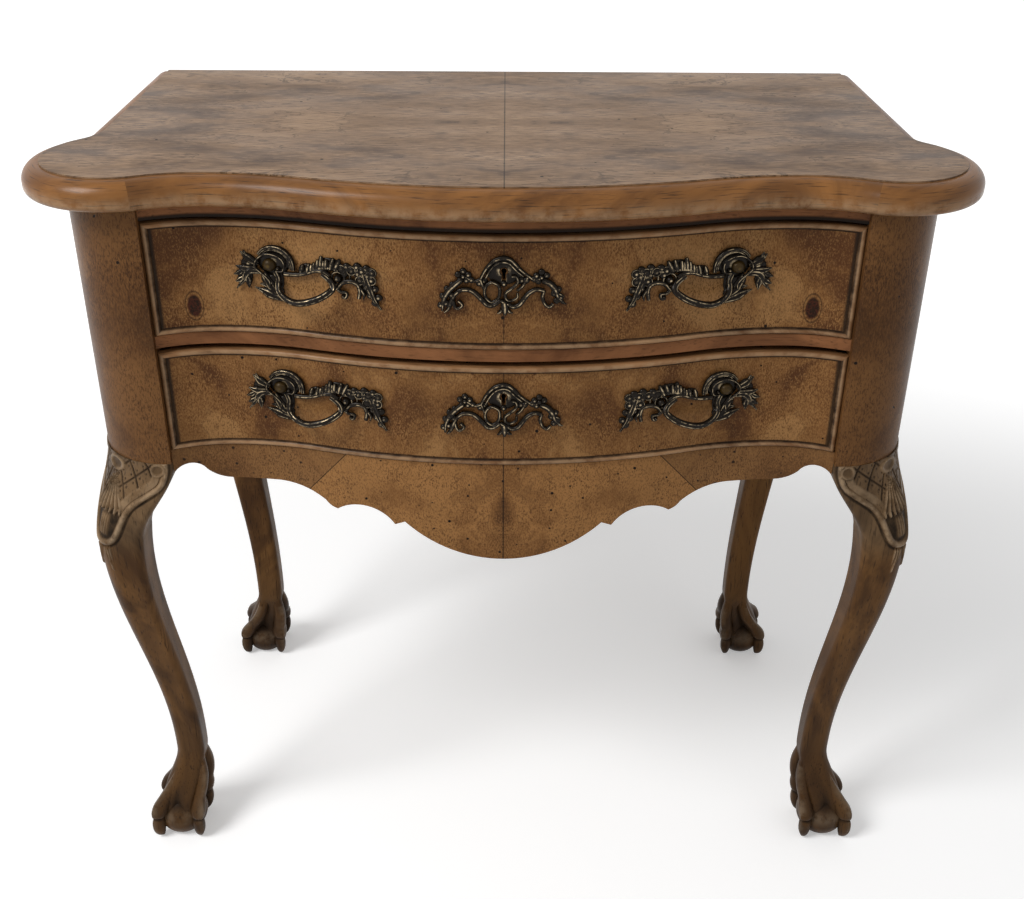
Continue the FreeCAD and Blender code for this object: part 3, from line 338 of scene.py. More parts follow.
gleam = maths(burr, "MULTIPLY", band(burr, fine, 0.495, 0.38), strong)
colour = blend(burr, maths(burr, "MULTIPLY", gleam, 0.7), colour, given["Pale"])
axes = axes_of(burr, given["Place"])
spot = add(burr, "ShaderNodeCombineXYZ", {0: axes[0], 1: maths(burr, "ADD", axes[1], axes[2])}).outputs[0]
inputs = {"Vector": spot, "Scale": HOLE_CELLS}
cells = add(burr, "ShaderNodeTexVoronoi", inputs, voronoi_dimensions="2D").outputs
chance = add(burr, "ShaderNodeSeparateColor", {0: cells["Color"]}).outputs
chosen = maths(burr, "GREATER_THAN", chance[0], maths(burr, "SUBTRACT", 1.0, given["Holes"]))
inside = maths(burr, "SUBTRACT", maths(burr, "MULTIPLY_ADD", chance[1], 0.07, 0.03), cells["Distance"])
hole = maths(burr, "MULTIPLY", band(burr, inside, -0.02, 0.02), chosen)
burr.links.new(blend(burr, hole, colour, WORM_HOLE), out["Color"])
relief = maths(burr, "MULTIPLY_ADD", fine, -0.5, maths(burr, "MULTIPLY", hole, -2.0))
burr.links.new(relief, out["Height"])
print("group burr_figure:", len(burr.nodes), "nodes")

# %% [markdown]
# ## Straight-grained wood
# Solid walnut and oak show long streaks. They could be cut from modelled growth rings, but on narrow pieces
# nobody sees the rings, and a stretched noise is simpler: the coordinate is squeezed along the grain, so
# that a plain noise is drawn out into streaks and a finer one into pores.

# %% Group: long grain
STREAK_SCALE = (55.0, 55.0, 2.4)
BROAD_SCALE = (14.0, 14.0, 1.5)
PORE_SCALE = (620.0, 620.0, 26.0)
PORE = (0.01, 0.005, 0.003, 1)
grain, given, out = new_group(
    "long_grain",
    [("Vector", "vector"), ("Pale", "colour"), ("Dark", "colour"), ("Streaks", "value"), ("Pores", "value")],
    [("Color", "colour"), ("Height", "value")],
)
wander = noise(grain, given["Vector"], 2.2, 2.0, output="Color")
wander = vectors(grain, "MULTIPLY_ADD", wander, HALF, given["Vector"])
streak = noise(grain, mapped(grain, wander, Scale=STREAK_SCALE), 1.0, 5.0, 0.6)
broad = noise(grain, mapped(grain, wander, Scale=BROAD_SCALE), 1.0, 3.0, 0.5)
shade = maths(grain, "MULTIPLY_ADD", broad, 0.6, maths(grain, "MULTIPLY", streak, 0.4))
amount = maths(grain, "MULTIPLY", band(grain, shade, 0.34, 0.64), given["Streaks"])
colour = blend(grain, amount, given["Pale"], given["Dark"])
pore = noise(grain, mapped(grain, given["Vector"], Scale=PORE_SCALE), 1.0, 2.0, 0.6)
pore = band(grain, pore, 0.55, 0.72)
colour = blend(grain, maths(grain, "MULTIPLY", pore, given["Pores"]), colour, PORE)
grain.links.new(colour, out["Color"])
grain.links.new(maths(grain, "MULTIPLY_ADD", pore, -0.7, streak), out["Height"])
print("group long_grain:", len(grain.nodes), "nodes")

# %% [markdown]
# ## Age
# Years of handling polish what stands proud and leave wax and dirt in every hollow. Wear could be found
# from the angles between faces, but the formulas of the pieces already know what stands proud, so the marks
# that each sheet carries say it; a noise breaks the edges up so that nothing looks airbrushed. The same marks
# also carry painted light: the pale mark is a painted highlight on the claws, the ball and the moulding's
# nose, and the dark mark is painted shade beside the beads, under the claws and in the clefts of the foot.

# %% Group: age
HAND_GREASE = (0.04, 0.020, 0.009, 1)
DIRT_AND_SHADE = (0.010, 0.006, 0.004, 1)
PLAIN_ROUGHNESS = 0.36
age, given, out = new_group(
    "age",
    [("Color", "colour"), ("Vector", "vector"), ("Rub", "colour"), ("Rubbing", "value"), ("Dirt", "value")],
    [("Color", "colour"), ("Roughness", "value")],
)
patchy = noise(age, given["Vector"], 60.0, 4.0, 0.65)
wear_and_highlight = maths(age, "MULTIPLY", mark_of(age, "raised"), band(age, patchy, 0.30, 0.62), clamp=True)
dirt_and_shade = maths(age, "MULTIPLY", mark_of(age, "sunk"), band(age, patchy, 0.75, 0.35, 0.55, 1.0), clamp=True)
smudge = noise(age, given["Vector"], 9.0, 3.0)
colour = blend(age, band(age, smudge, 0.45, 0.75, 0.0, 0.25), given["Color"], HAND_GREASE)
# The raised mark is pale wear, and on the claws, the ball and the moulding also a painted highlight.
colour = blend(age, maths(age, "MULTIPLY", wear_and_highlight, given["Rubbing"]), colour, given["Rub"])
# The sunk mark is dirt in hollows, and painted shade beside the beads, under the claws and in the foot's
# clefts.
colour = blend(age, maths(age, "MULTIPLY", dirt_and_shade, given["Dirt"]), colour, DIRT_AND_SHADE)
age.links.new(colour, out["Color"])
rough = maths(age, "MULTIPLY_ADD", wear_and_highlight, -0.14, maths(age, "MULTIPLY_ADD", dirt_and_shade, 0.35, PLAIN_ROUGHNESS))
age.links.new(maths(age, "ADD", rough, band(age, smudge, 0.3, 0.7, -0.05, 0.10)), out["Roughness"])
print("group age:", len(age.nodes), "nodes")

# %% [markdown]
# ## The finishes of this chest
# Each finish ends in one shader, which stays in the material; the groups only hand it colours and values.
# Polished wood has a thin coat of wax over it; oak inside the drawers has none; the castings are brass
# under a dark brown skin.

# %% Shaders
WOOD_SHINE, COAT_ROUGHNESS = 0.06, 0.25
GRAIN_STRENGTH = 0.55


def start_material(name):
    """A new material, its node tree and its shader."""
    material = bpy.data.materials.new(name)
    material.use_nodes = True
    tree = material.node_tree
    return material, tree, tree.nodes["Principled BSDF"]


def object_coordinate(tree):
    """Place on the chest, in metres."""
    return add(tree, "ShaderNodeTexCoord").outputs["Object"]


def surface_coordinate(tree):
    """Place along a sheet, in metres."""
    return add(tree, "ShaderNodeUVMap", uv_map="surface").outputs["UV"]


def add_relief(tree, shader, height, strength, depth):
    """Let a height tilt the light on the shader, over a depth in metres."""
    bump = add(tree, "ShaderNodeBump", {"Height": height, "Strength": strength, "Distance": depth})
    tree.links.new(bump.outputs["Normal"], shader.inputs["Normal"])


def finish_wood(tree, shader, colour, rough, height, depth, coat):
    """Join colour, roughness and relief to the shader, under a coat of wax."""
    tree.links.new(colour, shader.inputs["Base Color"])
    tree.links.new(rough, shader.inputs["Roughness"])
    add_relief(tree, shader, height, GRAIN_STRENGTH, depth)
    for socket, value in (("Specular IOR Level", WOOD_SHINE), ("Coat Weight", coat),
                          ("Coat Roughness", COAT_ROUGHNESS)):
        shader.inputs[socket].default_value = value


print("shine of bare wood and roughness of its wax:", WOOD_SHINE, COAT_ROUGHNESS)

# %% [markdown]
# ### What only one board has
# Glue lines between leaves of veneer, two oval knots, painted shade along the top rail and the beads,
# painted sheen that greys the knees and a darkening towards the feet belong to single boards. They could be
# painted on by hand; a distance from a line or a place, turned into a soft-edged mask, is shorter and can be
# moved by one number.

# %% Glue lines and the shade of the beads
DRAWERS = ("upper", "lower")
BEAD_WIDTH = 0.006
SIDE_SHADE_WIDTH = 0.0042
LEVEL_SHADE_WIDTH = 0.0012
DRAWER_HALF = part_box("upper_drawer_front")[1].x
DRAWER_LEVELS = [[corner.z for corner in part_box(drawer + "_drawer_front")] for drawer in DRAWERS]
GLUE = (0.012, 0.007, 0.004, 1)


def seam(tree, colour, distance, half_width, strength=0.85):
    """Darken a thin line where a distance is near 0: the glue line between two leaves of veneer."""
    near = band(tree, maths(tree, "ABSOLUTE", distance), half_width, 0.4 * half_width, 0.0, strength)
    return blend(tree, near, colour, GLUE)


def bead_shade_line(tree, x, z):
    """A mask of painted shade: the dark line along the inner edge of the beads of both drawers, where the
    proud bead shades the veneer.
    """
    inner = maths(tree, "SUBTRACT", DRAWER_HALF - BEAD_WIDTH, x)
    nearest = maths(tree, "DIVIDE", inner, SIDE_SHADE_WIDTH)
    for low, high in DRAWER_LEVELS:
        for level in (low + BEAD_WIDTH, high - BEAD_WIDTH):
            gap = maths(tree, "ABSOLUTE", maths(tree, "SUBTRACT", z, level))
            nearest = maths(tree, "MINIMUM", nearest, maths(tree, "DIVIDE", gap, LEVEL_SHADE_WIDTH))
    return band(tree, nearest, 1.0, 0.35, 0.0, 0.85)


print("half-width and levels of the drawer fronts, metres:", round(DRAWER_HALF, 4),
      np.round(DRAWER_LEVELS, 4).tolist())

# %% Details of single boards
SEAM_HALF, FRONT_SEAM_HALF, SLANT_SEAM_HALF = 0.0008, 0.0007, 0.0009
KNOT_X, KNOT_Z = 0.290, 0.671
KNOT_HALF_WIDTH, KNOT_HALF_HEIGHT = 0.0070, 0.0122
BEAD_SHADE = (0.006, 0.004, 0.002, 1)
SLANT = 0.87
SLANT_X, SLANT_Z = 0.155, 0.522
SHEEN_FROM, SHEEN_FULL = 0.39, 0.44
FOOT_DARK_FROM, FOOT_DARK_FULL = 0.30, 0.02
FOOT_DARK = (0.016, 0.010, 0.006, 1)
RAIL_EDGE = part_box("top_rail_front")[0].z
GAP_SHADE_FROM, GAP_SHADE_FULL = 0.005, 0.002
GRIME_AND_GAP_SHADE = (0.004, 0.003, 0.002, 1)


def front_details(tree, colour, axes):
    """The middle seam of a drawer front, painted shade along its beads, and the oval knot near each end of
    the upper one, mottled and ringed."""
    x, _, z = axes
    across = maths(tree, "DIVIDE", maths(tree, "SUBTRACT", x, KNOT_X), KNOT_HALF_WIDTH)
    above = maths(tree, "DIVIDE", maths(tree, "SUBTRACT", z, KNOT_Z), KNOT_HALF_HEIGHT)
    squares = maths(tree, "MULTIPLY_ADD", across, across, maths(tree, "MULTIPLY", above, above))
    reach = maths(tree, "SQRT", squares)
    mottle = noise(tree, object_coordinate(tree), 420.0, 2.0)
    core = blend(tree, band(tree, mottle, 0.40, 0.60), tone(22, 10, 6), tone(56, 23, 13))
    colour = blend(tree, band(tree, reach, 1.05, 0.75, 0.0, 0.95), colour, core)
    ring = band(tree, maths(tree, "ABSOLUTE", maths(tree, "SUBTRACT", reach, 1.18)), 0.13, 0.03, 0.0, 0.6)
    colour = blend(tree, ring, colour, tone(34, 18, 10))
    # Painted shade: a dark line on the veneer beside the beads.
    colour = blend(tree, bead_shade_line(tree, x, z), colour, BEAD_SHADE)
    return seam(tree, colour, x, FRONT_SEAM_HALF, 0.7)


def apron_details(tree, colour, axes):
    """The middle seam, and the slanting seams beyond which the veneer is greyer."""
    x, _, z = axes
    slant = maths(tree, "MULTIPLY_ADD", z, SLANT, maths(tree, "SUBTRACT", x, SLANT_X + SLANT * SLANT_Z))
    beyond = maths(tree, "MULTIPLY", maths(tree, "GREATER_THAN", slant, 0.0), 0.35)
    colour = blend(tree, beyond, colour, tone(74, 52, 34))
    colour = seam(tree, colour, slant, SLANT_SEAM_HALF)
    return seam(tree, colour, x, SEAM_HALF)


def top_details(tree, colour, axes):
    """The middle seam of the top."""
    return seam(tree, colour, axes[0], SEAM_HALF, 0.75)


def leg_details(tree, colour, axes):
    """Painted sheen greys the knees, and the legs grow darker towards the feet."""
    # Painted sheen: the knees turn greyer above a height.
    sheen_grey = band(tree, axes[2], SHEEN_FROM, SHEEN_FULL, 0.0, 0.6)
    colour = blend(tree, sheen_grey, colour, tone(122, 102, 78), "COLOR")
    # The legs are darker towards the floor.
    return blend(tree, band(tree, axes[2], FOOT_DARK_FROM, FOOT_DARK_FULL, 0.0, 0.5), colour, FOOT_DARK)


def rail_details(tree, colour, axes):
    """Painted shade along the lower edge of the top rail, standing for the dark gap above the drawer."""
    gap = maths(tree, "ABSOLUTE", maths(tree, "SUBTRACT", axes[2], RAIL_EDGE))
    # Painted shade: the rail's lowest few millimetres are darkened like the gap below it.
    return blend(tree, band(tree, gap, GAP_SHADE_FROM, GAP_SHADE_FULL, 0.0, 0.95), colour, GRIME_AND_GAP_SHADE)


print("lower edge of the top rail, metres:", round(RAIL_EDGE, 4))

# %% [markdown]
# ### The woods and the metals
# The woods and metals of the chest differ in tone and direction more than in kind, so one function makes
# every veneer, one every solid wood and one every metal. Tones are written as the eye reads them, pale,
# middle and dark. A shift moves each board to another part of the same figure, so that no two finishes show
# the same swirl.

# %% Veneer
ONE_FOLD = (0.0, 5.0, 0.0)
TWO_FOLDS = (0.0, 0.0, 0.0)
VENEER_RELIEF = 0.0004
UPRIGHT_GRAIN = (800.0, 800.0, 400.0)
POST_GRAIN = (700.0, 700.0, 240.0)
CROSSWISE_GRAIN = (90.0, 330.0, 330.0)


def burr_material(name, tones, scale, grain_scale, shift, holes, details=None, spread=(1.0, 1.0, 1.0),
                  lines=0.25, coat=0.03, fold=ONE_FOLD):
    """Figured veneer, laid in two halves about the middle of the chest as two leaves opened like a book, or
    in four quarters. The details draw what only this leaf has, from the colour and the folded coordinates."""
    material, tree, shader = start_material(name)
    place = object_coordinate(tree)
    mirrored = vectors(tree, "ABSOLUTE", vectors(tree, "ADD", place, fold))
    where = mapped(tree, mirrored, Scale=spread, Location=shift)
    pale, middle, dark = tones
    veneer = use_group(tree, burr, {"Vector": where, "Scale": scale, "Grain": grain_scale, "Pale": pale,
                                    "Middle": middle, "Dark": dark, "Lines": lines, "Holes": holes,
                                    "Place": place})
    aged = use_group(tree, age, {"Color": veneer["Color"], "Vector": where, "Rub": pale, "Rubbing": 0.4,
                                 "Dirt": 0.8})
    colour = aged["Color"]
    if details:
        colour = details(tree, colour, axes_of(tree, mirrored))
    finish_wood(tree, shader, colour, aged["Roughness"], veneer["Height"], VENEER_RELIEF, coat)
    return material


# The top's pale, greyed tones are the wood's colour with painted sheen laid over it.
top_veneer = burr_material("top_veneer", (tone(162, 133, 105), tone(136, 109, 84), tone(90, 72, 59)), 13.0,
                           CROSSWISE_GRAIN, (0.3, 1.1, 0.0), 0.02, top_details, (0.6, 1.25, 1.0), 0.7, 0.02,
                           TWO_FOLDS)
front_veneer = burr_material("front_veneer", (tone(151, 111, 68), tone(122, 84, 47), tone(78, 47, 24)), 16.0,
                             UPRIGHT_GRAIN, (2.1, 5.4, 0.9), 0.12, front_details)
apron_veneer = burr_material("apron_veneer", (tone(150, 107, 63), tone(120, 82, 46), tone(80, 51, 28)), 17.0,
                             UPRIGHT_GRAIN, (3.7, 1.3, 4.6), 0.30, apron_details)
side_veneer = burr_material("side_veneer", (tone(146, 104, 62), tone(114, 76, 43), tone(74, 46, 25)), 15.0,
                            UPRIGHT_GRAIN, (7.1, 3.0, 1.7), 0.10)
post_walnut = burr_material("post_walnut", (tone(111, 76, 43), tone(86, 56, 30), tone(53, 32, 16)), 11.0,
                            POST_GRAIN, (4.7, 6.1, 2.9), 0.04)
print("veneers:", top_veneer.name, front_veneer.name, apron_veneer.name, side_veneer.name,
      post_walnut.name)

# %% Straight grain
GRAIN_RELIEF = 0.0003
ALONG_X = (0.0, math.radians(90), 0.0)
ALONG_Y = (math.radians(90), 0.0, 0.0)
ALONG_Z = (0.0, 0.0, 0.0)


def grain_material(name, pale, dark, turn, streaks=0.8, pores=0.5, coat=0.15, flat=False, rubbing=0.5,
                   rub=tone(174, 144, 110), details=None):
    """Straight-grained wood. The turn brings the grain, which runs along Z in the group, to its real
    direction on the piece."""
    material, tree, shader = start_material(name)
    where = surface_coordinate(tree) if flat else object_coordinate(tree)
    along = mapped(tree, where, Rotation=turn)
    wood = use_group(tree, grain, {"Vector": along, "Pale": pale, "Dark": dark, "Streaks": streaks,
                                   "Pores": pores})
    aged = use_group(tree, age, {"Color": wood["Color"], "Vector": where, "Rub": rub, "Rubbing": rubbing,
                                 "Dirt": 0.95})
    colour = aged["Color"]
    if details:
        colour = details(tree, colour, axes_of(tree, object_coordinate(tree)))
    finish_wood(tree, shader, colour, aged["Roughness"], wood["Height"], GRAIN_RELIEF, coat)
    return material


# The legs' pale rubbed tone is grey: worn wood, with painted sheen on the carving.
leg_walnut = grain_material("leg_walnut", tone(117, 82, 45), tone(55, 34, 17), ALONG_Z, 0.9, 0.7, 0.03,
                            rubbing=0.6, rub=tone(176, 154, 128), details=leg_details)
moulding_walnut = grain_material("moulding_walnut", tone(138, 92, 47), tone(80, 48, 21), ALONG_X, 0.8, 0.8,
                                 0.25, flat=True, rubbing=0.45)
bead_walnut = grain_material("bead_walnut", tone(146, 106, 70), tone(84, 54, 31), ALONG_X, 0.8, 0.5, 0.15,
                             flat=True)
rail_walnut = grain_material("rail_walnut", tone(144, 96, 61), tone(82, 49, 28), ALONG_X, 0.85, 0.45, 0.02,
                             details=rail_details)
oak_across = grain_material("oak_across", tone(164, 132, 94), tone(118, 88, 58), ALONG_X, 0.7, 0.6, 0.0)
oak_deep = grain_material("oak_deep", tone(160, 128, 92), tone(112, 84, 56), ALONG_Y, 0.7, 0.6, 0.0)
print("solid woods:", leg_walnut.name, moulding_walnut.name, bead_walnut.name, rail_walnut.name,
      oak_across.name, oak_deep.name)


# %% Metal finishes
def metal_material(name, skin, bare, roughness, bare_share):
    """Cast metal under a dark skin, bright on what stands proud: polished bare by hands and cloths, with
    painted glints.
    """
    material, tree, shader = start_material(name)
    where = object_coordinate(tree)
    mottle = noise(tree, where, 190.0, 4.0, 0.6)
    # What stands proud turns bright: metal polished bare, with painted glints.
    proud = band(tree, mark_of(tree, "raised"), 0.62, 0.97)
    worn_and_glint = maths(tree, "MULTIPLY", proud, band(tree, mottle, 0.40, 0.62))
    worn_and_glint = maths(tree, "MULTIPLY", worn_and_glint, bare_share)
    base = blend(tree, band(tree, mottle, 0.35, 0.7, 0.0, 0.5), skin, GRIME_AND_GAP_SHADE)
    rough = band(tree, mottle, 0.25, 0.75, roughness - 0.1, roughness + 0.12)
    tree.links.new(blend(tree, worn_and_glint, base, bare), shader.inputs["Base Color"])
    tree.links.new(rough, shader.inputs["Roughness"])
    tree.links.new(band(tree, worn_and_glint, 0.0, 0.6, 0.2, 1.0), shader.inputs["Metallic"])
    shader.inputs["Specular IOR Level"].default_value = 0.12
    add_relief(tree, shader, noise(tree, where, 900.0, 3.0, 0.6), 0.35, 0.0002)
    return material


cast_brass = metal_material("cast_brass", tone(25, 19, 13), tone(206, 184, 148), 0.28, 0.68)
olive_brass = metal_material("olive_brass", tone(58, 43, 18), tone(120, 98, 56), 0.34, 0.3)
old_iron = metal_material("old_iron", tone(58, 54, 50), tone(130, 124, 116), 0.5, 0.4)
print("metal finishes:", cast_brass.name, olive_brass.name, old_iron.name)

# %% [markdown]
# ## The frame's own boards
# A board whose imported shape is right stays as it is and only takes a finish. It could be built again here,
# but then two shapes of one board would have to be kept alike. Grain runs the way a joiner would cut it:
# along the length of a rail, from front to back on a drawer side.

# %% Finish the boards that stay
SIDES = {"right": 1, "left": -1}


def in_drawers(*parts):
    """The names of parts that both drawers have."""
    return [f"{drawer}_{part}" for drawer in DRAWERS for part in parts]


def on_sides(*parts):
    """The names of parts that come as a right and a left one."""
    return [f"{part}_{side}" for part in parts for side in SIDES]


STAYING = {
    top_veneer: ["top_panel"],
    apron_veneer: ["apron"],
    front_veneer: in_drawers("drawer_front"),
    side_veneer: on_sides("side_panel"),
    post_walnut: on_sides("front_post", "rear_post"),
    rail_walnut: ["top_rail_front", "divider_rail"],
    oak_across: ["top_rail_rear", "bottom_rail", "back_panel",
                 *in_drawers("drawer_back", "drawer_bottom", "drawer_stops")],
    oak_deep: on_sides("kicker", *in_drawers("runner", "drawer_side")),
    old_iron: in_drawers("pull_nuts", "lock_case", "lock_bolt"),
}
for material, names in STAYING.items():
    for name in names:
        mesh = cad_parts[name].data
        mesh.materials.clear()
        mesh.materials.append(material)
print("boards finished:", sum(len(names) for names in STAYING.values()))

# %% [markdown]
# ## The front line
# The front of the chest is one serpentine line: a bulge in the middle, a hollow each side and a tighter
# return at each end, all arcs that meet without a corner. Drawer fronts, beads, moulding, pulls and
# escutcheons all follow it, so it is written once as a function.

# %% Front line
FRONT_REACH = 0.210
WAVE_HALF = 0.268
WAVE_DEPTH = 0.040
BULGE_SHARE = 0.6755
HOLLOW_END_RADIUS = 0.143
wave_span = (WAVE_HALF ** 2 + WAVE_DEPTH ** 2) / (2 * WAVE_DEPTH)
bulge_radius = wave_span * BULGE_SHARE
hollow_radius = wave_span - bulge_radius
hollow_y = WAVE_DEPTH - FRONT_REACH
end_centre_y = hollow_y - HOLLOW_END_RADIUS


def front_line(x, offset=0.0):
    """Depth of the front at a distance from the middle: the bulge's circle up to where it hands over to the
    hollow's circle, then the return's circle. An offset moves the whole line outwards."""
    reach = np.abs(x)
    join = WAVE_HALF * (bulge_radius + offset) / wave_span
    beyond = reach - WAVE_HALF
    bulge = bulge_radius - FRONT_REACH - np.sqrt((bulge_radius + offset) ** 2 - np.minimum(reach, join) ** 2)
    hollow = hollow_y - hollow_radius + np.sqrt((hollow_radius - offset) ** 2 - np.minimum(beyond, 0) ** 2)
    back = end_centre_y + np.sqrt((HOLLOW_END_RADIUS - offset) ** 2 - np.maximum(beyond, 0) ** 2)
    return np.where(reach <= join, bulge, np.where(beyond <= 0, hollow, back))


def on_front(x, z, proud):
    """Points that stand out from the front, square to it, by a given height."""
    step = 1e-4
    slope = (front_line(x + step) - front_line(x - step)) / (2 * step)
    length = np.sqrt(slope ** 2 + 1)
    return np.stack([x + slope / length * proud, front_line(x) - proud / length, z + 0 * x], axis=-1)


print("front line at the middle, the hollow and the end, metres:",
      front_line(np.array([0.0, WAVE_HALF, 0.328])).round(4))

# %% [markdown]
# ## The moulded edge of the top
# A thumb moulding runs round three sides of the top. It could be swept along one path, but at the cusps the
# front run and the ear run meet in a mitre. So each point of the section follows its own line, and that line
# ends where it crosses the matching line of the other run.

# %% Section of the moulding
FIELD_MARGIN = 0.005
MOULDING_WIDTH = 0.017
EAR_CENTRE = np.array([0.353, -0.120])
EAR_FIELD_RADIUS = 0.074
COVE_FIELD_RADIUS = 0.051
SIDE_FIELD_X = 0.393
TOP_BACK = 0.232
UNDERSIDE = 0.772
NOSE = 0.007
FACE = 0.004
QUIRK = 0.0015
ROUND = MOULDING_WIDTH - QUIRK
SHEEN_WEAR_REACH, SHEEN_WEAR_EDGE = 0.010, 0.004
SHEEN_WEAR_RISE, SHEEN_WEAR_SPREAD = 0.005, 0.007


def moulding_section():
    """Reach and height round the section: the underside, a small round nose, a flat face, a quarter-round,
    the quirk and the flat back against the field."""
    nose = on_circle((MOULDING_WIDTH - NOSE, UNDERSIDE + NOSE), NOSE, np.radians(np.linspace(-90, 0, 9)))
    spring = UNDERSIDE + NOSE + FACE
    thumb = on_circle((QUIRK, spring), ROUND, np.radians(np.linspace(0, 90, 17)))
    back = np.array([[0.0, spring + ROUND], [0.0, UNDERSIDE]])
    return np.concatenate([back[1:], nose, thumb, back])


def ear_cusp(reach):
    """Where the front line and the ear cross, for a line at a given reach outside the field: the meeting
    point of two circles."""
    first = np.array([WAVE_HALF, end_centre_y])
    first_radius = HOLLOW_END_RADIUS - FIELD_MARGIN - reach
    second_radius = EAR_FIELD_RADIUS + reach
    line = EAR_CENTRE - first
    gap = np.hypot(*line)
    along = (first_radius ** 2 - second_radius ** 2 + gap ** 2) / (2 * gap)
    across = np.sqrt(first_radius ** 2 - along ** 2)
    ahead = line / gap
    return first + along[:, None] * ahead + across[:, None] * np.array([ahead[1], -ahead[0]])


section = moulding_section()
reach, height = section.T
round_section = run_length(section)
cusp = ear_cusp(reach)
# A pale band low on the moulding's nose: wear, and a painted highlight where the nose catches the light.
sheen_wear_band = np.exp(-((height - UNDERSIDE - SHEEN_WEAR_RISE) / SHEEN_WEAR_SPREAD) ** 2)
sheen_wear_mark = np.clip((reach - SHEEN_WEAR_REACH) / SHEEN_WEAR_EDGE, 0, 1) * sheen_wear_band


def run_sheet(plan, distance):
    """A run of moulding from its plan lines, rows x section points x 2."""
    points = np.concatenate([plan, np.broadcast_to(height[:, None], (*plan.shape[:2], 1))], axis=-1)
    return strip_sheet(points, distance, round_section, sheen_wear_mark)


print("once round the moulding's section, metres:", round_section[-1].round(4))

# %% Front run and side runs
FRONT_HALF = 0.40
SIDE_START = 0.5
share = np.linspace(-1, 1, 261)[:, None]
front_x = share * cusp[:, 0]
front_run = np.stack([front_x, front_line(front_x, FIELD_MARGIN + reach)], axis=-1)
front_sheet = run_sheet(front_run, share[:, 0] * FRONT_HALF)
place_piece("edge_front", [front_sheet], moulding_walnut, "carcass", "walnut", "top_moulding_front")

cove_x = SIDE_FIELD_X + COVE_FIELD_RADIUS
cove_rise = math.sqrt((EAR_FIELD_RADIUS + COVE_FIELD_RADIUS) ** 2 - (cove_x - EAR_CENTRE[0]) ** 2)
cove_centre = np.array([cove_x, EAR_CENTRE[1] + cove_rise])
turn_end = math.atan2(cove_rise, cove_x - EAR_CENTRE[0])
cusp_turn = np.arctan2(cusp[:, 1] - EAR_CENTRE[1], cusp[:, 0] - EAR_CENTRE[0])
ear_turn = cusp_turn + np.linspace(0, 1, 121)[:, None] * (turn_end - cusp_turn)
ear_run = on_circle(EAR_CENTRE, EAR_FIELD_RADIUS + reach, ear_turn)
cove_turn = np.linspace(turn_end + math.pi, math.pi, 33)[1:, None]
cove_run = on_circle(cove_centre, COVE_FIELD_RADIUS - reach, cove_turn)
side_y = np.linspace(cove_centre[1], TOP_BACK, 60)[1:, None]
side_run = np.stack([SIDE_FIELD_X + reach + 0 * side_y, side_y + 0 * reach], axis=-1)
right_run = np.concatenate([ear_run, cove_run, side_run])
middle_column = len(reach) // 2
distance = run_length(right_run[:, middle_column])
for label, side in SIDES.items():
    side_sheet = run_sheet(right_run * np.array([side, 1]), distance + SIDE_START + side)
    place_piece("edge_" + label, [side_sheet], moulding_walnut, "carcass", "walnut", "top_moulding_" + label)
print("moulding runs, metres:", run_length(front_run[:, middle_column])[-1].round(3), distance[-1].round(3))

# %% [markdown]
# ## Cock beads
# A cock bead is a thin strip let into the edge of a drawer front, with a half-round nose that stands proud
# and saves the veneer from knocks. A round section carried along the edge would end square, but the four
# strips of a drawer are mitred, so each point of the section stops short of the corner by its own distance
# from the outer edge.

# %% Beads
BEAD_PROUD = 0.0025
BEAD_REBATE = 0.0075
NOSE_SINK = 0.4
SIDE_LIT_SHARE, LEVEL_LIT_SHARE = 0.45, 0.7
SHADE_EDGE = 0.2
nose_turn = np.radians(np.linspace(-90, 90, 13))
nose_out = BEAD_PROUD * ((1 + NOSE_SINK) * np.cos(nose_turn) - NOSE_SINK)
bead_out = np.concatenate([[-BEAD_REBATE], nose_out, [-BEAD_REBATE, -BEAD_REBATE]])
bead_in = np.concatenate([[0.0], BEAD_WIDTH / 2 * (1 + np.sin(nose_turn)), [BEAD_WIDTH, 0.0]])
bead_round = run_length(np.stack([bead_out, bead_in], axis=-1))
bead_mark = np.clip(bead_out / BEAD_PROUD, 0, 1)


def bead_sheet(x, z, distance, lit_share):
    """A strip from its x and z grids; the section's outward height is square to the front. Painted shade
    fills the inner side of the strip beyond the lit share of its width, where it meets the veneer."""
    points = on_front(x, z, np.broadcast_to(bead_out, x.shape))
    # Painted shade on the inner side of the bead, next to the veneer.
    inner_shade = ease((bead_in / BEAD_WIDTH - lit_share) / SHADE_EDGE) * (bead_out > -BEAD_REBATE)
    return strip_sheet(points, distance, bead_round, bead_mark, inner_shade)


for drawer in DRAWERS:
    low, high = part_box(drawer + "_bead_bottom")[0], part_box(drawer + "_bead_top")[1]
    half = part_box(drawer + "_drawer_front")[1].x
    along = np.linspace(-1, 1, 201)[:, None]
    rise = np.linspace(0, 1, 41)[:, None]
    across = along * (half - bead_in)
    upright = low.z + bead_in + rise * (high.z - low.z - 2 * bead_in)
    # x grid, z grid, length along the grain and lit share of each strip
    strips = {
        "top": (across, high.z - bead_in + 0 * along, along[:, 0] * half, LEVEL_LIT_SHARE),
        "bottom": (across, low.z + bead_in + 0 * along, along[:, 0] * half + 2, LEVEL_LIT_SHARE),
        "right": (half - bead_in + 0 * rise, upright, rise[:, 0] * 0.1 + 4, SIDE_LIT_SHARE),
        "left": (bead_in - half + 0 * rise, upright, rise[:, 0] * 0.1 + 5, SIDE_LIT_SHARE),
    }
    for label, strip in strips.items():
        name = f"{drawer}_bead_{label}"
        place_piece("cock_" + name, [bead_sheet(*strip)], bead_walnut, drawer + "_drawer", "walnut", name)
    print(drawer, "beads:", len(strips), "strips")

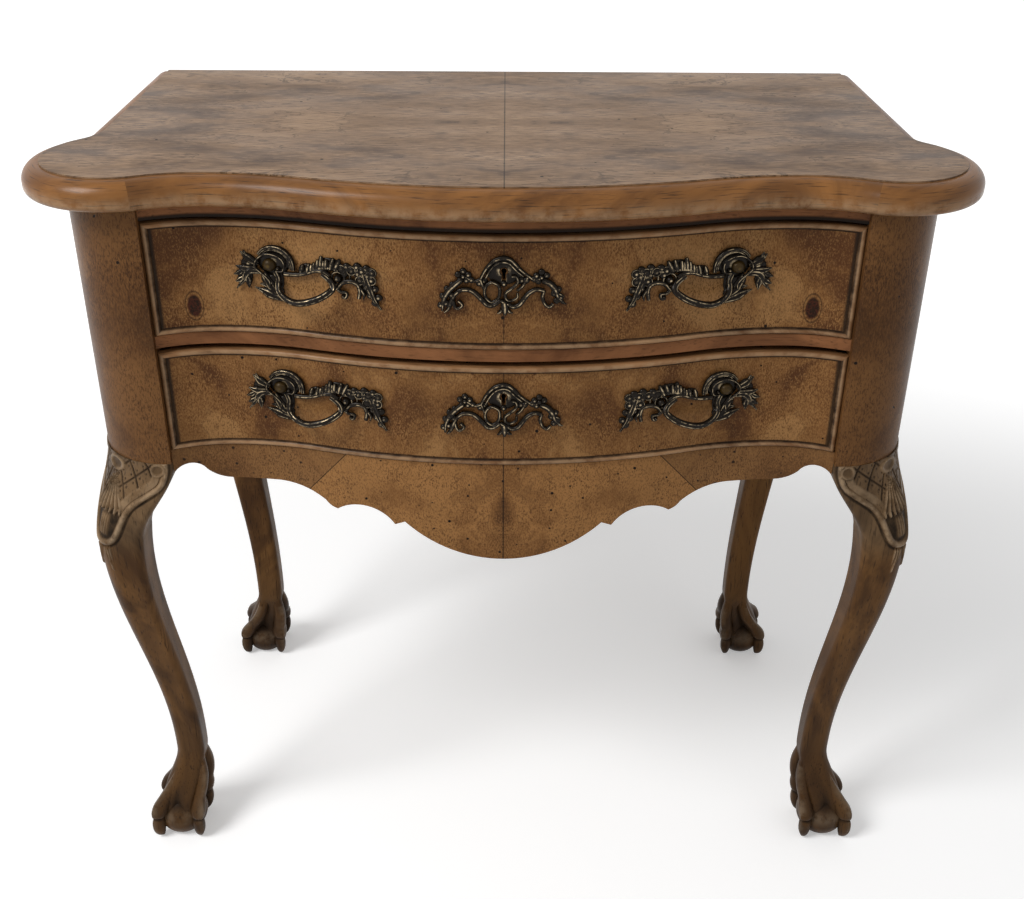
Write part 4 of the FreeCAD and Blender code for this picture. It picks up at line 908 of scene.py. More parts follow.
# %% [markdown]
# ## Cabriole legs
# A cabriole leg is sawn to one S-curve from two faces, so every section is a square with its outer corner
# rounded. It could be sculpted by eye, but four legs have to match. So the section's inner edge, outer edge
# and corner radius are functions of height, and going round the section at every height gives the whole
# shaft as one grid. The knee's carving is a height drawn over that grid, measured along the wood from the
# ridge, so it is real relief and not paint.

# %% Leg sections
TOP = 0.510
KNEE = 0.420
ANKLE = 0.110
KNEE_REACH, KNEE_WIDTH = 0.083, 0.049
ANKLE_REACH, ANKLE_WIDTH = 0.047, 0.032
TOP_REACH, TOP_INNER = 0.075, -0.005
WING_SHARE = 0.95


def leg_section(z, corner_top):
    """Inner edge, outer edge and outer corner radius at each height. Above the knee they ease towards the
    post; below it the outer edge follows an S and the width tapers."""
    share = ease((z - KNEE) / (TOP - KNEE))
    wing = ease((z - KNEE) / (WING_SHARE * (TOP - KNEE)))
    outer_up = KNEE_REACH + share * (TOP_REACH - KNEE_REACH)
    inner_up = KNEE_REACH - KNEE_WIDTH + wing * (TOP_INNER - KNEE_REACH + KNEE_WIDTH)
    corner_up = KNEE_WIDTH / 2 + share * (corner_top - KNEE_WIDTH / 2)
    fall = np.clip((z - ANKLE) / (KNEE - ANKLE), 0, 1)
    outer_down = ANKLE_REACH + ease(fall ** 1.1) * (KNEE_REACH - ANKLE_REACH)
    width = ANKLE_WIDTH + fall ** 1.9 * (KNEE_WIDTH - ANKLE_WIDTH)
    corner_down = ANKLE_WIDTH / 3 + fall ** 3 * (KNEE_WIDTH / 2 - ANKLE_WIDTH / 3)
    inner_down = outer_down - width
    above = z >= KNEE
    return (np.where(above, inner_up, inner_down), np.where(above, outer_up, outer_down),
            np.where(above, corner_up, corner_down))


print("outer edge of a leg at ankle, knee and top, metres:",
      leg_section(np.array([ANKLE, KNEE, TOP]), 0.0)[1].round(4))

# %% Round a section
INNER_CORNER = 0.008


def round_the_section(z, corner_top, ridge_points):
    """Go round the section once, from the hidden inner corner along both outer faces and back. Gives the
    two plan coordinates, the outward direction and, in metres along the wood, the distance from the ridge."""
    inner, outer, corner = (value[:, None] for value in leg_section(z, corner_top))
    small = np.full_like(corner, INNER_CORNER)
    centres = {
        "back": (inner + small, inner + small, small),
        "left": (inner + small, outer - small, small),
        "ridge": (outer - corner, outer - corner, corner),
        "right": (outer - small, inner + small, small),
    }
    turns = [("back", 225, 180, 5), ("left", 180, 90, 9), ("ridge", 90, 0, ridge_points),
             ("right", 0, -90, 9), ("back", -90, -135, 5)]
    straights = [12, 26, 26, 12]
    first, second, facing = [], [], []
    for number, (name, start, end, count) in enumerate(turns):
        across, along, radius = centres[name]
        turn = np.radians(np.linspace(start, end, count))[None, :]
        first.append(across + radius * np.cos(turn))
        second.append(along + radius * np.sin(turn))
        facing.append(np.broadcast_to(turn, first[-1].shape))
        if number < len(straights):
            after = turns[number + 1]
            next_across, next_along, next_radius = centres[after[0]]
            bearing = math.radians(end)
            share = np.linspace(0, 1, straights[number] + 2)[None, 1:-1]
            here = (across + radius * math.cos(bearing), along + radius * math.sin(bearing))
            there = (next_across + next_radius * math.cos(bearing),
                     next_along + next_radius * math.sin(bearing))
            first.append(here[0] + share * (there[0] - here[0]))
            second.append(here[1] + share * (there[1] - here[1]))
            facing.append(np.full(first[-1].shape, bearing))
    first, second, facing = (np.concatenate(values, axis=1) for values in (first, second, facing))
    step = np.hypot(np.diff(first, axis=1), np.diff(second, axis=1))
    distance = np.concatenate([np.zeros((len(z), 1)), np.cumsum(step, axis=1)], axis=1)
    ridge_column = sum(count for *_, count in turns[:2]) + sum(straights[:2]) + ridge_points // 2
    return first, second, facing, distance - distance[:, ridge_column:ridge_column + 1]


print("girth of an ankle, metres:", np.ptp(round_the_section(np.array([ANKLE]), 0.0, 21)[3]).round(4))

# %% [markdown]
# ### The carved knee
# The carving is drawn from simple marks: a bead that follows a curve, a bevel inside it, the cut lines of a
# diamond lattice with punched dots, coins with raised rims, a fluted leaf on the ridge, a hollow with a small
# husk below it, and a drop under the border. Each mark is a formula in two lengths, along the wood from the
# ridge and up from the floor, both in millimetres, and gives a height.

# %% Marks of the carver
BORDER_KNOTS = [(0, 420), (6, 421), (11, 423), (16, 428), (20, 438), (22.5, 448), (25, 456), (30, 464),
                (38, 471), (47, 478), (54, 485), (57, 495), (58, 512)]
LATTICE_CROSSING = (27, 493)
LATTICE_PITCH = 17


def bump_line(distance, half_width):
    """A soft ridge: 1 on the line, 0 beyond its half-width."""
    return np.clip(1 - (distance / half_width) ** 2, 0, 1)


def border_distance(side, up):
    """Distance from the border's curve, above 0 on the side of the leaf."""
    curve = smooth_path(BORDER_KNOTS, 140)
    gap = np.hypot(side[..., None] - curve[:, 0], up[..., None] - curve[:, 1]).min(axis=-1)
    return np.where(up > np.interp(side, curve[:, 0], curve[:, 1], right=600.0), gap, -gap)


def coin(side, up, place, half_width, half_height):
    """A dished coin: the height of its rim and hollow, and the share of the ground that it covers."""
    reach = np.hypot((side - place[0]) / half_width, (up - place[1]) / half_height)
    rim = 1.5 * bump_line((reach - 0.84) * half_height, 1.8) - 0.25 * ease((0.66 - reach) / 0.3)
    return rim, ease((1.16 - reach) / 0.16)


def lattice(side, up):
    """Two families of cut lines about one crossing, and four punched dots round each crossing."""
    across, above = side - LATTICE_CROSSING[0], up - LATTICE_CROSSING[1]
    lines = ((above - 0.82 * across) / 1.29, (across + 0.45 * above) / 1.10)
    first, second = (np.abs((line / LATTICE_PITCH + 0.5) % 1 - 0.5) * LATTICE_PITCH for line in lines)
    cuts = np.maximum(bump_line(first, 1.2), bump_line(second, 1.2))
    return -1.2 * cuts - 1.0 * bump_line(np.hypot(first - 4.2, second - 4.2), 1.4)


print("border of the carving, mm:", run_length(smooth_path(BORDER_KNOTS, 140))[-1].round(1))

# %% Leaf and drop
LEAF_TOP = 491
LEAF_END = 457
LEAF_HEIGHTS = [440, 459, 475, 489]
LEAF_HALVES = [23, 22, 12, 4]
LEAF_LOBES = 7
LEAF_RISE, LEAF_BED = 2.8, -0.5
LOBE_LENGTH = 5
HUSK_RISE, HUSK_HALF, HUSK_BED = 2.3, 9.0, -0.9
HUSK_TOP, HUSK_FOOT = 453, 427
KNEE_DROP_FOOT, KNEE_DROP_TOP = 386, 419
KNEE_DROP_HEIGHTS = [KNEE_DROP_FOOT, 400, 414, 421]
KNEE_DROP_HALVES = [1.0, 3.5, 5.0, 3.0]
KNEE_DROP_LEAN = [10.0, 6.0]


def knee_leaf(carved, side, up):
    """Lay the fluted leaf over the carving, and below it the hollow with its husk."""
    half = np.interp(up, LEAF_HEIGHTS, LEAF_HALVES)
    lobes = np.cos(side / half * LEAF_LOBES * math.pi / 2) ** 2
    end = LEAF_END - LOBE_LENGTH * lobes
    leaf = ease((half - side) / 1.5) * ease((up - end) / 2.0) * ease((LEAF_TOP - up) / 3.0)
    carved = carved * (1 - leaf) + leaf * (LEAF_RISE * lobes + LEAF_BED)
    hollow = ease((half + 2 - side) / 4) * ease((end - up + 1) / 3)
    husk = bump_line(side, HUSK_HALF) * ease((HUSK_TOP - up) / 6) * ease((up - HUSK_FOOT) / 5)
    flutes = 0.75 + 0.25 * np.cos(side * 2.0)
    return carved * (1 - hollow) + hollow * (HUSK_RISE * husk * flutes + HUSK_BED)


def knee_drop(side, up):
    """The small fluted drop that hangs beside the ridge below the border."""
    half = np.interp(up, KNEE_DROP_HEIGHTS, KNEE_DROP_HALVES)
    away = np.abs(side - np.interp(up, [KNEE_DROP_HEIGHTS[0], KNEE_DROP_HEIGHTS[-1]], KNEE_DROP_LEAN))
    cover = ease((half - away) / 1.5) * ease((up - KNEE_DROP_FOOT) / 4) * ease((KNEE_DROP_TOP - up) / 4)
    return cover * (1.1 + 0.8 * np.cos(away * 2.0))


print("half-width of the leaf from its foot to its top, mm:", LEAF_HALVES)

# %% Knee carving
BORDER_RISE, BORDER_HALF = 2.6, 3.4
BORDER_CUT, CUT_AWAY, CUT_HALF = 0.9, 5.0, 1.9
BEVEL_RISE, BEVEL_WIDTH = 1.1, 13.0
COINS = [((0, 501.5), 13.0, 7.5), ((51, 502.5), 7.5, 7.5)]
CARVING_FOOT = 380


def knee_carving(along, up):
    """Height of the carving in millimetres over the plain knee: each mark takes the place of those before
    it by the share of ground that it covers."""
    side = np.abs(along)
    off = border_distance(side, up)
    bevel = ease((BEVEL_WIDTH - off) / 2.0)
    carved = knee_leaf(lattice(side, up) * (1 - bevel) + BEVEL_RISE * bevel, side, up)
    border = BORDER_RISE * bump_line(off, BORDER_HALF) - BORDER_CUT * bump_line(off + CUT_AWAY, CUT_HALF)
    total = border + ease((off - 3.0) / 1.5) * carved
    for place, half_width, half_height in COINS:
        rim, cover = coin(side, up, place, half_width, half_height)
        total = total * (1 - cover) + rim
    return total * ease((up - CARVING_FOOT) / 10) + knee_drop(side, up)


print("relief on the ridge at the husk, the leaf and the coin, mm:",
      knee_carving(np.zeros(3), np.array([440.0, 475.0, 501.5])).round(2))

# %% [markdown]
# ### Ball and claw
# The foot is a turned ball gripped by four claws. One skin over all of it would blur the clefts, so ball,
# ankle and claws are sheets of their own that sink into each other. The skin of the ankle runs down to a
# rim on the ball that hangs low behind each claw and arches up between them. A claw is a tube whose
# thickness swells at each knuckle and pinches behind it, and whose last stretch is the nail. The tendons
# are the thin upper ends of those tubes, half sunk in the ankle.

# %% Ankle skin and shaft
FOOT_REACH = 0.048
BALL = 0.0285
BALL_HEIGHT = 0.0225
WEB_ROWS = 26
RIM_HEIGHT, RIM_WAVE = 0.040, 0.006
SKIN = 0.001
RIDGE_POINTS, PLAIN_RIDGE_POINTS = 111, 21
PALE_RISE, DARK_DEPTH = 2.2, 0.9
# Share of the pale mark: wear on the carving, wear and a painted highlight on the claws.
WEAR_AND_HIGHLIGHT = 0.9
ankle_middle = ANKLE_REACH - ANKLE_WIDTH / 2


def foot_skin(first, second):
    """Rows from the rim up to the ankle's ring: the axis moves across by a smooth step, and the radius by a
    power that keeps the flare for the end."""
    share = np.linspace(1, 0, WEB_ROWS, endpoint=False)[:, None]
    bearing = np.arctan2(second - ankle_middle, first - ankle_middle)[None, :]
    rim = RIM_HEIGHT + RIM_WAVE * np.cos(4 * bearing)
    reach = np.sqrt(BALL ** 2 - (rim - BALL_HEIGHT) ** 2) + SKIN
    flare = share ** 1.6
    axis = ankle_middle + ease(share) * (FOOT_REACH - ankle_middle)
    across = axis + (1 - flare) * (first - ankle_middle) + flare * reach * np.cos(bearing)
    away = axis + (1 - flare) * (second - ankle_middle) + flare * reach * np.sin(bearing)
    # Painted shade in the clefts: the skin is darker near the rim between the claws.
    cleft_shade = share ** 3 * (0.5 + 0.5 * np.cos(4 * bearing))
    return np.stack([across, away, ANKLE + share * (rim - ANKLE)], axis=-1), cleft_shade


def leg_sheet(z, corner_top, carved):
    """The shaft from its heights, with the skin of the foot below, closed at both ends."""
    ridge_points = RIDGE_POINTS if carved else PLAIN_RIDGE_POINTS
    first, second, facing, along = round_the_section(z, corner_top, ridge_points)
    up = np.broadcast_to(z[:, None], first.shape)
    height = knee_carving(along * 1000, up * 1000) if carved else np.zeros_like(first)
    first = first + np.cos(facing) * height / 1000
    second = second + np.sin(facing) * height / 1000
    skin, cleft_shade = foot_skin(first[0], second[0])
    points = np.concatenate([skin, np.stack([first, second, up], axis=-1)])
    raised = np.concatenate([0 * cleft_shade, np.clip(height / PALE_RISE, 0, 1) * WEAR_AND_HIGHLIGHT])
    # Sunk mark: painted shade in the clefts of the foot, and darker in the carved hollows.
    sunk = np.concatenate([cleft_shade, np.clip(-height / DARK_DEPTH, 0, 1)])
    centre = np.array([FOOT_REACH, FOOT_REACH, BALL_HEIGHT])
    points = close_ends(points, centre, points[-1].mean(axis=0))
    return sheet(points, None, repeat_ends(raised), repeat_ends(sunk))


print("the foot stands further out than the ankle by, metres:", round(FOOT_REACH - ankle_middle, 4))

# %% Claws and ball
CLAW_POINTS = 25
CLAW_FLATTEN = 0.92
KNUCKLE, PINCH, SWELL = 0.0084, 0.0078, 0.0012
TENDON_TOP, TENDON_WEAR_AND_HIGHLIGHT = 0.085, 0.6
NAIL_TOP, NAIL_ROOT = 0.026, 0.035
CLAW_KNOTS = [
    # reach from the foot's axis, height, share of the way to the foot's axis, half-width
    (0.0070, 0.1120, 0.00, 0.0052),
    (0.0120, 0.0920, 0.03, 0.0072),
    (0.0180, 0.0740, 0.14, 0.0082),
    (0.0235, 0.0600, 0.40, 0.0086),
    (0.0275, 0.0500, 0.68, 0.0086),
    (0.0305, 0.0415, 0.86, 0.0098),
    (0.0318, 0.0350, 0.95, 0.0092),
    (0.0312, 0.0305, 0.98, 0.0064),
    (0.0326, 0.0240, 1.00, 0.0076),
    (0.0330, 0.0150, 1.00, 0.0072),
    (0.0318, 0.0070, 1.00, 0.0052),
    (0.0296, 0.0016, 1.00, 0.0020),
]


def claw_sheet(bearing):
    """A claw at a bearing round the foot: round sections square to a knuckled path, pale along the top of its
    knuckles and tendon, wear with a painted highlight, and with painted shade under it and behind each
    knuckle.
    """
    out, up, share, half = smooth_path(CLAW_KNOTS, 72).T
    direction = np.array([math.cos(bearing), math.sin(bearing)])
    axis = ankle_middle + share * (FOOT_REACH - ankle_middle)
    centre = np.stack([axis + out * direction[0], axis + out * direction[1], up], axis=-1)
    sideways = np.array([-direction[1], direction[0], 0.0])
    outward = np.cross(unit(np.gradient(centre, axis=0)), sideways)
    turn = np.linspace(0, 2 * math.pi, CLAW_POINTS)
    ridge = 1 + 0.16 * np.exp(-((turn - math.pi / 2) / 0.35) ** 2)
    ring = (np.cos(turn)[:, None] * sideways * CLAW_FLATTEN
            + (np.sin(turn) * ridge)[:, None] * outward[:, None, :]) * half[:, None, None]
    points = centre[:, None, :] + ring
    points[..., 2] = np.maximum(points[..., 2], 0.0)
    # Pale top line of knuckles and tendon: wear and a painted highlight.
    bulge = np.maximum(np.clip((half - KNUCKLE) / SWELL, 0, 1), TENDON_WEAR_AND_HIGHLIGHT * (up < TENDON_TOP))
    raised = repeat_ends(bulge)[:, None] * np.clip(np.sin(turn), 0, 1) ** 6
    # Painted shade in the pinch behind the knuckle and along the underside of the claw.
    pinch = np.clip((PINCH - half) / SWELL, 0, 1) * (up > NAIL_TOP) * (up < NAIL_ROOT)
    sunk = np.maximum(repeat_ends(pinch)[:, None], np.clip(0.35 - np.sin(turn), 0, 1))
    return sheet(close_ends(points, centre[0], centre[-1]), None, raised * WEAR_AND_HIGHLIGHT, sunk)


def ball_sheet():
    """The ball, flattened where it stands, with painted shade where it goes under the skin and pale where it
    bulges out, wear with a painted highlight.
    """
    points, _ = sphere((FOOT_REACH, FOOT_REACH, BALL_HEIGHT), (BALL, BALL, BALL), 41, 65)
    points[..., 2] = np.maximum(points[..., 2], 0.0)
    shade_under_skin = np.clip((points[..., 2] - 0.036) / 0.008, 0, 1)
    worn_and_glint = np.clip(1 - np.abs(points[..., 2] - 0.030) / 0.012, 0, 1) * 0.7
    return sheet(points, None, worn_and_glint, shade_under_skin)


print("length of a claw, metres:", run_length(smooth_path(CLAW_KNOTS, 72)[:, :2])[-1].round(4))

# %% Place the four legs
LEG_AXES = {"front": (0.333, -0.115), "rear": (0.292, 0.135)}
LEG_FORWARD = {"front": -1, "rear": 1}
LEG_TOPS = {"front": 0.071, "rear": 0.0107}
KNEE_START = 0.374
SHAFT_STEP, KNEE_STEP = 0.004, 0.001


def leg_heights(carved):
    """Rows close together on a carved knee, wider elsewhere."""
    step = KNEE_STEP if carved else SHAFT_STEP
    shaft = np.arange(ANKLE, KNEE_START, SHAFT_STEP)
    return np.concatenate([shaft, np.arange(KNEE_START, TOP - step / 2, step), [TOP]])


for end, axis in LEG_AXES.items():
    carved = end == "front"
    sheets = [leg_sheet(leg_heights(carved), LEG_TOPS[end], carved), ball_sheet()]
    sheets += [claw_sheet(math.radians(45 + 90 * quarter)) for quarter in range(4)]
    for label, side in SIDES.items():
        mirror = np.array([side, LEG_FORWARD[end], 1])
        foot = np.array([side * axis[0], axis[1], 0])
        turned = [sheet(points * mirror + foot, *rest) for points, *rest in sheets]
        name = f"{end}_leg_{label}"
        mesh = place_piece("cabriole_" + name, turned, leg_walnut, "carcass", "walnut", name)
        print("cabriole", name, len(mesh.polygons), "faces")

# %% [markdown]
# ## Cast pulls and escutcheons
# The metalwork is cast and then chased by hand: strands that curl, leaves with a vein, small knobs for
# flowers and bosses. A flat plate with holes could stand for the openwork, but it would catch no light on
# its rounded parts. So each strand is an oval carried along a smooth path; the paths are drawn flat, in
# millimetres across and up from the pull's own middle, and then laid on the serpentine front, so that the
# casting hugs the wood as the real one was bent to do.

# %% Strands
RING_POINTS = 13
ring_turn = np.linspace(0, 2 * math.pi, RING_POINTS)
# Bright marks on the top and on the rims of a strand: metal polished bare, with painted glints.
top_glint_and_wear = np.clip(np.sin(ring_turn), 0, 1) ** 6
chase_dark = np.clip(0.25 - np.sin(ring_turn), 0, 1)
rim_glint_and_wear = np.exp(-((np.abs(ring_turn - math.pi / 2) - math.pi / 6) / 0.25) ** 2)


def strand(halves, height, path, depth=1.0, vein=0.0):
    """An oval ring carried along a path of points across, up and, where given, out from the wood. The
    half-width runs from its first value over its middle to its last. A vein cuts a groove on top, and then
    its two rims take the bright mark, metal polished bare with painted glints; without a vein the top does."""
    knots = np.array([spot if len(spot) == 3 else (*spot, height) for spot in path], float)
    line = smooth_path(knots, 7 * len(knots))
    half = np.interp(np.linspace(0, 1, len(line)), [0, 0.5, 1], halves)[:, None]
    run = unit(np.gradient(line[:, :2], axis=0))
    sideways = half * np.cos(ring_turn)
    groove = 1 - vein * np.exp(-((ring_turn - math.pi / 2) / 0.4) ** 2)
    lift = half * depth * np.sin(ring_turn) * groove
    points = np.stack([line[:, :1] - run[:, 1:] * sideways, line[:, 1:2] + run[:, :1] * sideways,
                       line[:, 2:] + lift], axis=-1)
    light = rim_glint_and_wear if vein else top_glint_and_wear
    return sheet(close_ends(points, line[0], line[-1]), None, light, chase_dark)


print("grid of a strand through three spots:", strand((1, 1, 1), 0, [(0, 0), (1, 0), (2, 1)])[0].shape[:2])


# %% Knobs, loops and studs
def knob(place, radius, rise, height=0.0):
    """A squashed ball with its own rise above the wood; a pair of radii makes it oval."""
    wide, tall = (radius, radius) if np.isscalar(radius) else radius
    points, facing = sphere((*place, height), (wide, tall, rise), 13, 19)
    # The bright top of a knob: metal polished bare, with a painted glint.
    return sheet(points, None, np.clip(facing, 0, 1) ** 6, np.clip(0.3 - facing, 0, 1))


def raised_circle(place, reach, turn, lift):
    """Circles round a place, each at its own reach and lift."""
    plan = on_circle(place, reach, turn)
    return np.concatenate([plan, np.broadcast_to(lift, plan.shape[:2])[..., None]], axis=-1)


def loop(place, radius, half, height):
    """A closed ring of wire round a place."""
    turn = np.linspace(0, 2 * math.pi, 29)[:, None]
    points = raised_circle(place, radius + half * np.cos(ring_turn), turn, height + half * np.sin(ring_turn))
    return sheet(points, None, top_glint_and_wear, chase_dark)


def stud(place, radius, inner, outer):
    """A round pin square to the wood, closed at both ends."""
    reach = np.array([0, radius, radius, 0])[:, None]
    depth = np.array([inner, inner, outer, outer])[:, None]
    return sheet(raised_circle(place, reach, ring_turn, depth))


print("grid of a knob:", knob((0, 0), 1.0, 1.0)[0].shape[:2])

# %% [markdown]
# ### The pull
# Outwards from the middle of the chest a pull has a flowery end with a hanging leaf, a bar to grip that
# bows out from the wood, and a large scroll round a smooth boss with leaves fanning from it. Left and right
# are mirror images, so one drawing serves all four pulls.

# %% Paths of a pull
SCROLL = [(42, 24.5), (37, 29.5), (30, 32), (23, 31.5), (18, 29.5), (13.5, 25.5), (11, 21.5), (9.7, 16.5),
          (9.6, 11.5)]
SCROLL_LINE = [(24.7, 9.4), (19.5, 10.4), (17.4, 15.9), (19, 21), (24.4, 24.7), (32.4, 26), (39.3, 23.6),
               (44.5, 18.5), (45.6, 12.7), (41.2, 8.2), (36, 3.8), (32.3, -1.2), (32.8, -6)]
GRIP = [(27, 9, 3), (24, 3, 4.5), (24.4, -2.1, 6), (22.9, -7.3, 9), (17.4, -11.8, 12.5), (9.2, -13.9, 16),
        (1, -13.8, 18.5), (-8, -11.7, 19.5), (-17.6, -8.3, 17.5), (-25.4, -3.8, 13.5), (-29.3, 0.4, 9.5),
        (-27.5, 4.9, 6.5), (-22.8, 8.7, 5), (-18.2, 11.6, 4.5)]
UPPER_BAR = [(18, 7.5), (11.5, 7.5), (5, 8), (-3, 10), (-10.6, 13.2), (-19, 13.6), (-25, 10)]
TUFTS = [((2, 10), (0, 18)), ((-4, 11.5), (-6, 19.5)), ((-10.7, 14), (-11, 21)), ((-17, 16.5), (-18, 28)),
         ((-22, 17), (-22.5, 25.5)), ((-26, 16.5), (-29, 27)), ((-30, 16), (-35, 26.5)),
         ((-8, 13), (-8.5, 19)), ((-14, 15), (-14.5, 24)), ((-20, 17), (-20, 24))]
TUFT_ROOT = [(2, 10), (-8, 13.5), (-17, 17), (-27, 17.5), (-34, 16)]
FAN = [
    # the leaves that fan from the scroll and its stem: half-width and path
    (4.8, [(43, 15), (51.8, 20.3), (59, 26.5)]),
    (3.6, [(50, 17), (54, 22), (56, 28)]),
    (4.2, [(45, 10.6), (56.3, 10.4), (64.5, 12.3)]),
    (4.4, [(42, 7.5), (50.4, 7.9), (55, 4.8), (58.5, -1.7), (65.5, -10)]),
    (4.0, [(55, 4), (53.5, -2), (53.5, -9)]),
    (3.6, [(57, 2), (61.5, -1), (66, -3)]),
    (3.2, [(58, 8), (62, 5.5), (67, 4)]),
    (5.0, [(21, -18), (31, -15), (39, -11.4), (48, -8)]),
    (3.6, [(29, -10), (36, -5), (43, -4.5)]),
    (5.4, [(39, 7), (34, -2), (29.5, -9), (23, -16)]),
]
GROUNDS = [((-24, 20), (12, 6.5)), ((-4, 14.5), (8, 4.5)), ((52, 14), (8, 7)), ((55, 2), (5.5, 7)),
           ((-50, 16.5), (14, 4.5)), ((36, 0), (6, 6)), ((25.5, 0), (5.5, 12)), ((-57.5, 8), (7, 9)),
           ((-60.5, -2), (4.5, 7))]
STEM_LUMPS = [((31, -3), (6.5, 8)), ((26.5, -11), (6, 5.5)), ((36, -9.5), (4, 3)), ((30, -14), (4, 3))]
FLOWERS = [(-36.3, 17.5), (-41, 20), (-45.5, 17), (-50.5, 21), (-55, 17), (-59, 19.5), (-64, 16.5),
           (-51, 14.5), (-60, 13.5), (-38.5, 13.5), (-53, 8.5), (-58, 5), (-63.5, 9)]
GARLAND = [(-36, 16), (-46, 17.5), (-56, 15.5), (-60, 10)]
DROP = [(-57, 15), (-59.7, 6), (-61.5, 1), (-65, -9.2), (-71, -19)]
DROP_LOBES = [(-56.5, 8), (-64, 8), (-58, 1.5), (-66, 0.5), (-61.5, -6), (-69, -7.5), (-65.5, -13)]
DROP_TWIG = [(-52, 2), (-56, -5), (-55, -10)]
BRANCH = [(-31, -2), (-36.5, 4.5), (-44.7, 6.6), (-50.6, 4.3), (-52.3, -2), (-51, -9.5)]
BRANCH_STAY = [(-43.4, 14.5), (-43.4, 10), (-43.4, 6.5)]
CURL = [(-31, -1.8), (-34.9, -4.6), (-40, -5.2), (-38.7, -9.5), (-35.7, -8.8)]
CURL_END = (-36.6, -8.4)
SCROLL_MIDDLE = (27, 17)
SCROLL_GROUND = (29, 17)
SCROLL_EYE = (24.5, 11.5)
BOSS = (32.6, 13.3)
SMALL_BOSS = (-32.6, 8.6)
print("leaves of the fan, tufts and flowers:", len(FAN), len(TUFTS), len(FLOWERS))

# %% Parts of a pull
STUD_RADIUS, STUD_IN, STUD_OUT = 2.5, -29, 2


def shrunk(path, share, about):
    """A path drawn smaller about a point."""
    return [(about[0] + share * (p - about[0]), about[1] + share * (q - about[1])) for p, q in path]


def scroll_and_bar():
    """The large scroll with its lines, the bar to grip and the bar above it."""
    return [
        strand((1.6, 2.9, 2.0), 3.4, SCROLL, 1.0, 0.3),
        strand((1.0, 1.5, 1.2), 3.6, shrunk(SCROLL, 0.84, SCROLL_MIDDLE)),
        strand((0.9, 1.25, 1.1), 5.0, SCROLL_LINE),
        knob(SCROLL_GROUND, (15.5, 13.5), 1.8),
        knob(SCROLL_EYE, 2.6, 4.5),
        strand((2.8, 3.5, 2.8), 4.5, GRIP, 0.85, 0.35),
        strand((2.6, 2.0, 2.4), 3.4, UPPER_BAR),
        strand((2.4, 4.2, 2.0), 2.2, TUFT_ROOT, 0.7),
    ]


def flowery_end():
    """The garland with its flowers, the branch, the curl and the hanging leaf."""
    parts = [knob(place, 3.9, 2.8, 2.2) for place in FLOWERS]
    parts += [loop(place, 4.0, 0.8, 3.6) for place in FLOWERS[::2]]
    parts += [
        strand((2.6, 2.2, 1.4), 2.2, GARLAND, 0.8),
        strand((1.0, 1.0, 1.0), 2.4, BRANCH_STAY),
        strand((2.2, 2.6, 1.9), 3.0, BRANCH),
        strand((1.8, 1.6, 2.0), 3.0, CURL),
        knob(CURL_END, 2.0, 3.6, 2.0),
        strand((3.0, 3.6, 1.0), 3.0, DROP, 0.8, 0.5),
        strand((1.8, 1.5, 0.7), 2.8, DROP_TWIG),
    ]
    return parts + [knob(place, (3.7, 3.5), 2.4, 1.8) for place in DROP_LOBES]


def pull_sheets():
    """All the parts of a right-hand pull, drawn flat."""
    parts = scroll_and_bar()
    parts += [knob(place, size, 2.2, 0.5) for place, size in GROUNDS]
    parts += [strand((2.4, 3.2, 1.5), 2.8, [root, tip], 0.9) for root, tip in TUFTS]
    parts += [strand((0.55 * half, half, 0.5), 2.6, path, 0.75, 0.55) for half, path in FAN]
    parts += [knob(place, size, 2.8, 0.8) for place, size in STEM_LUMPS]
    parts += [knob(SMALL_BOSS, 3.8, 5.5, 2.0), loop(SMALL_BOSS, 6.0, 1.3, 3.0)]
    parts += flowery_end()
    return parts + [stud(place, STUD_RADIUS, STUD_IN, STUD_OUT) for place in (BOSS, SMALL_BOSS)]


print("a pull has", len(pull_sheets()), "sheets")

# %% [markdown]
# ### The escutcheon
# A pierced plate guards the keyhole: an arched crest over the hole, a ring on one side and a scroll on the
# other, two sweeping arms, a flower at the end of each and a drop below. The hole could be cut from a solid
# plate, but a grid that goes round it by angle has clean edges from the start.

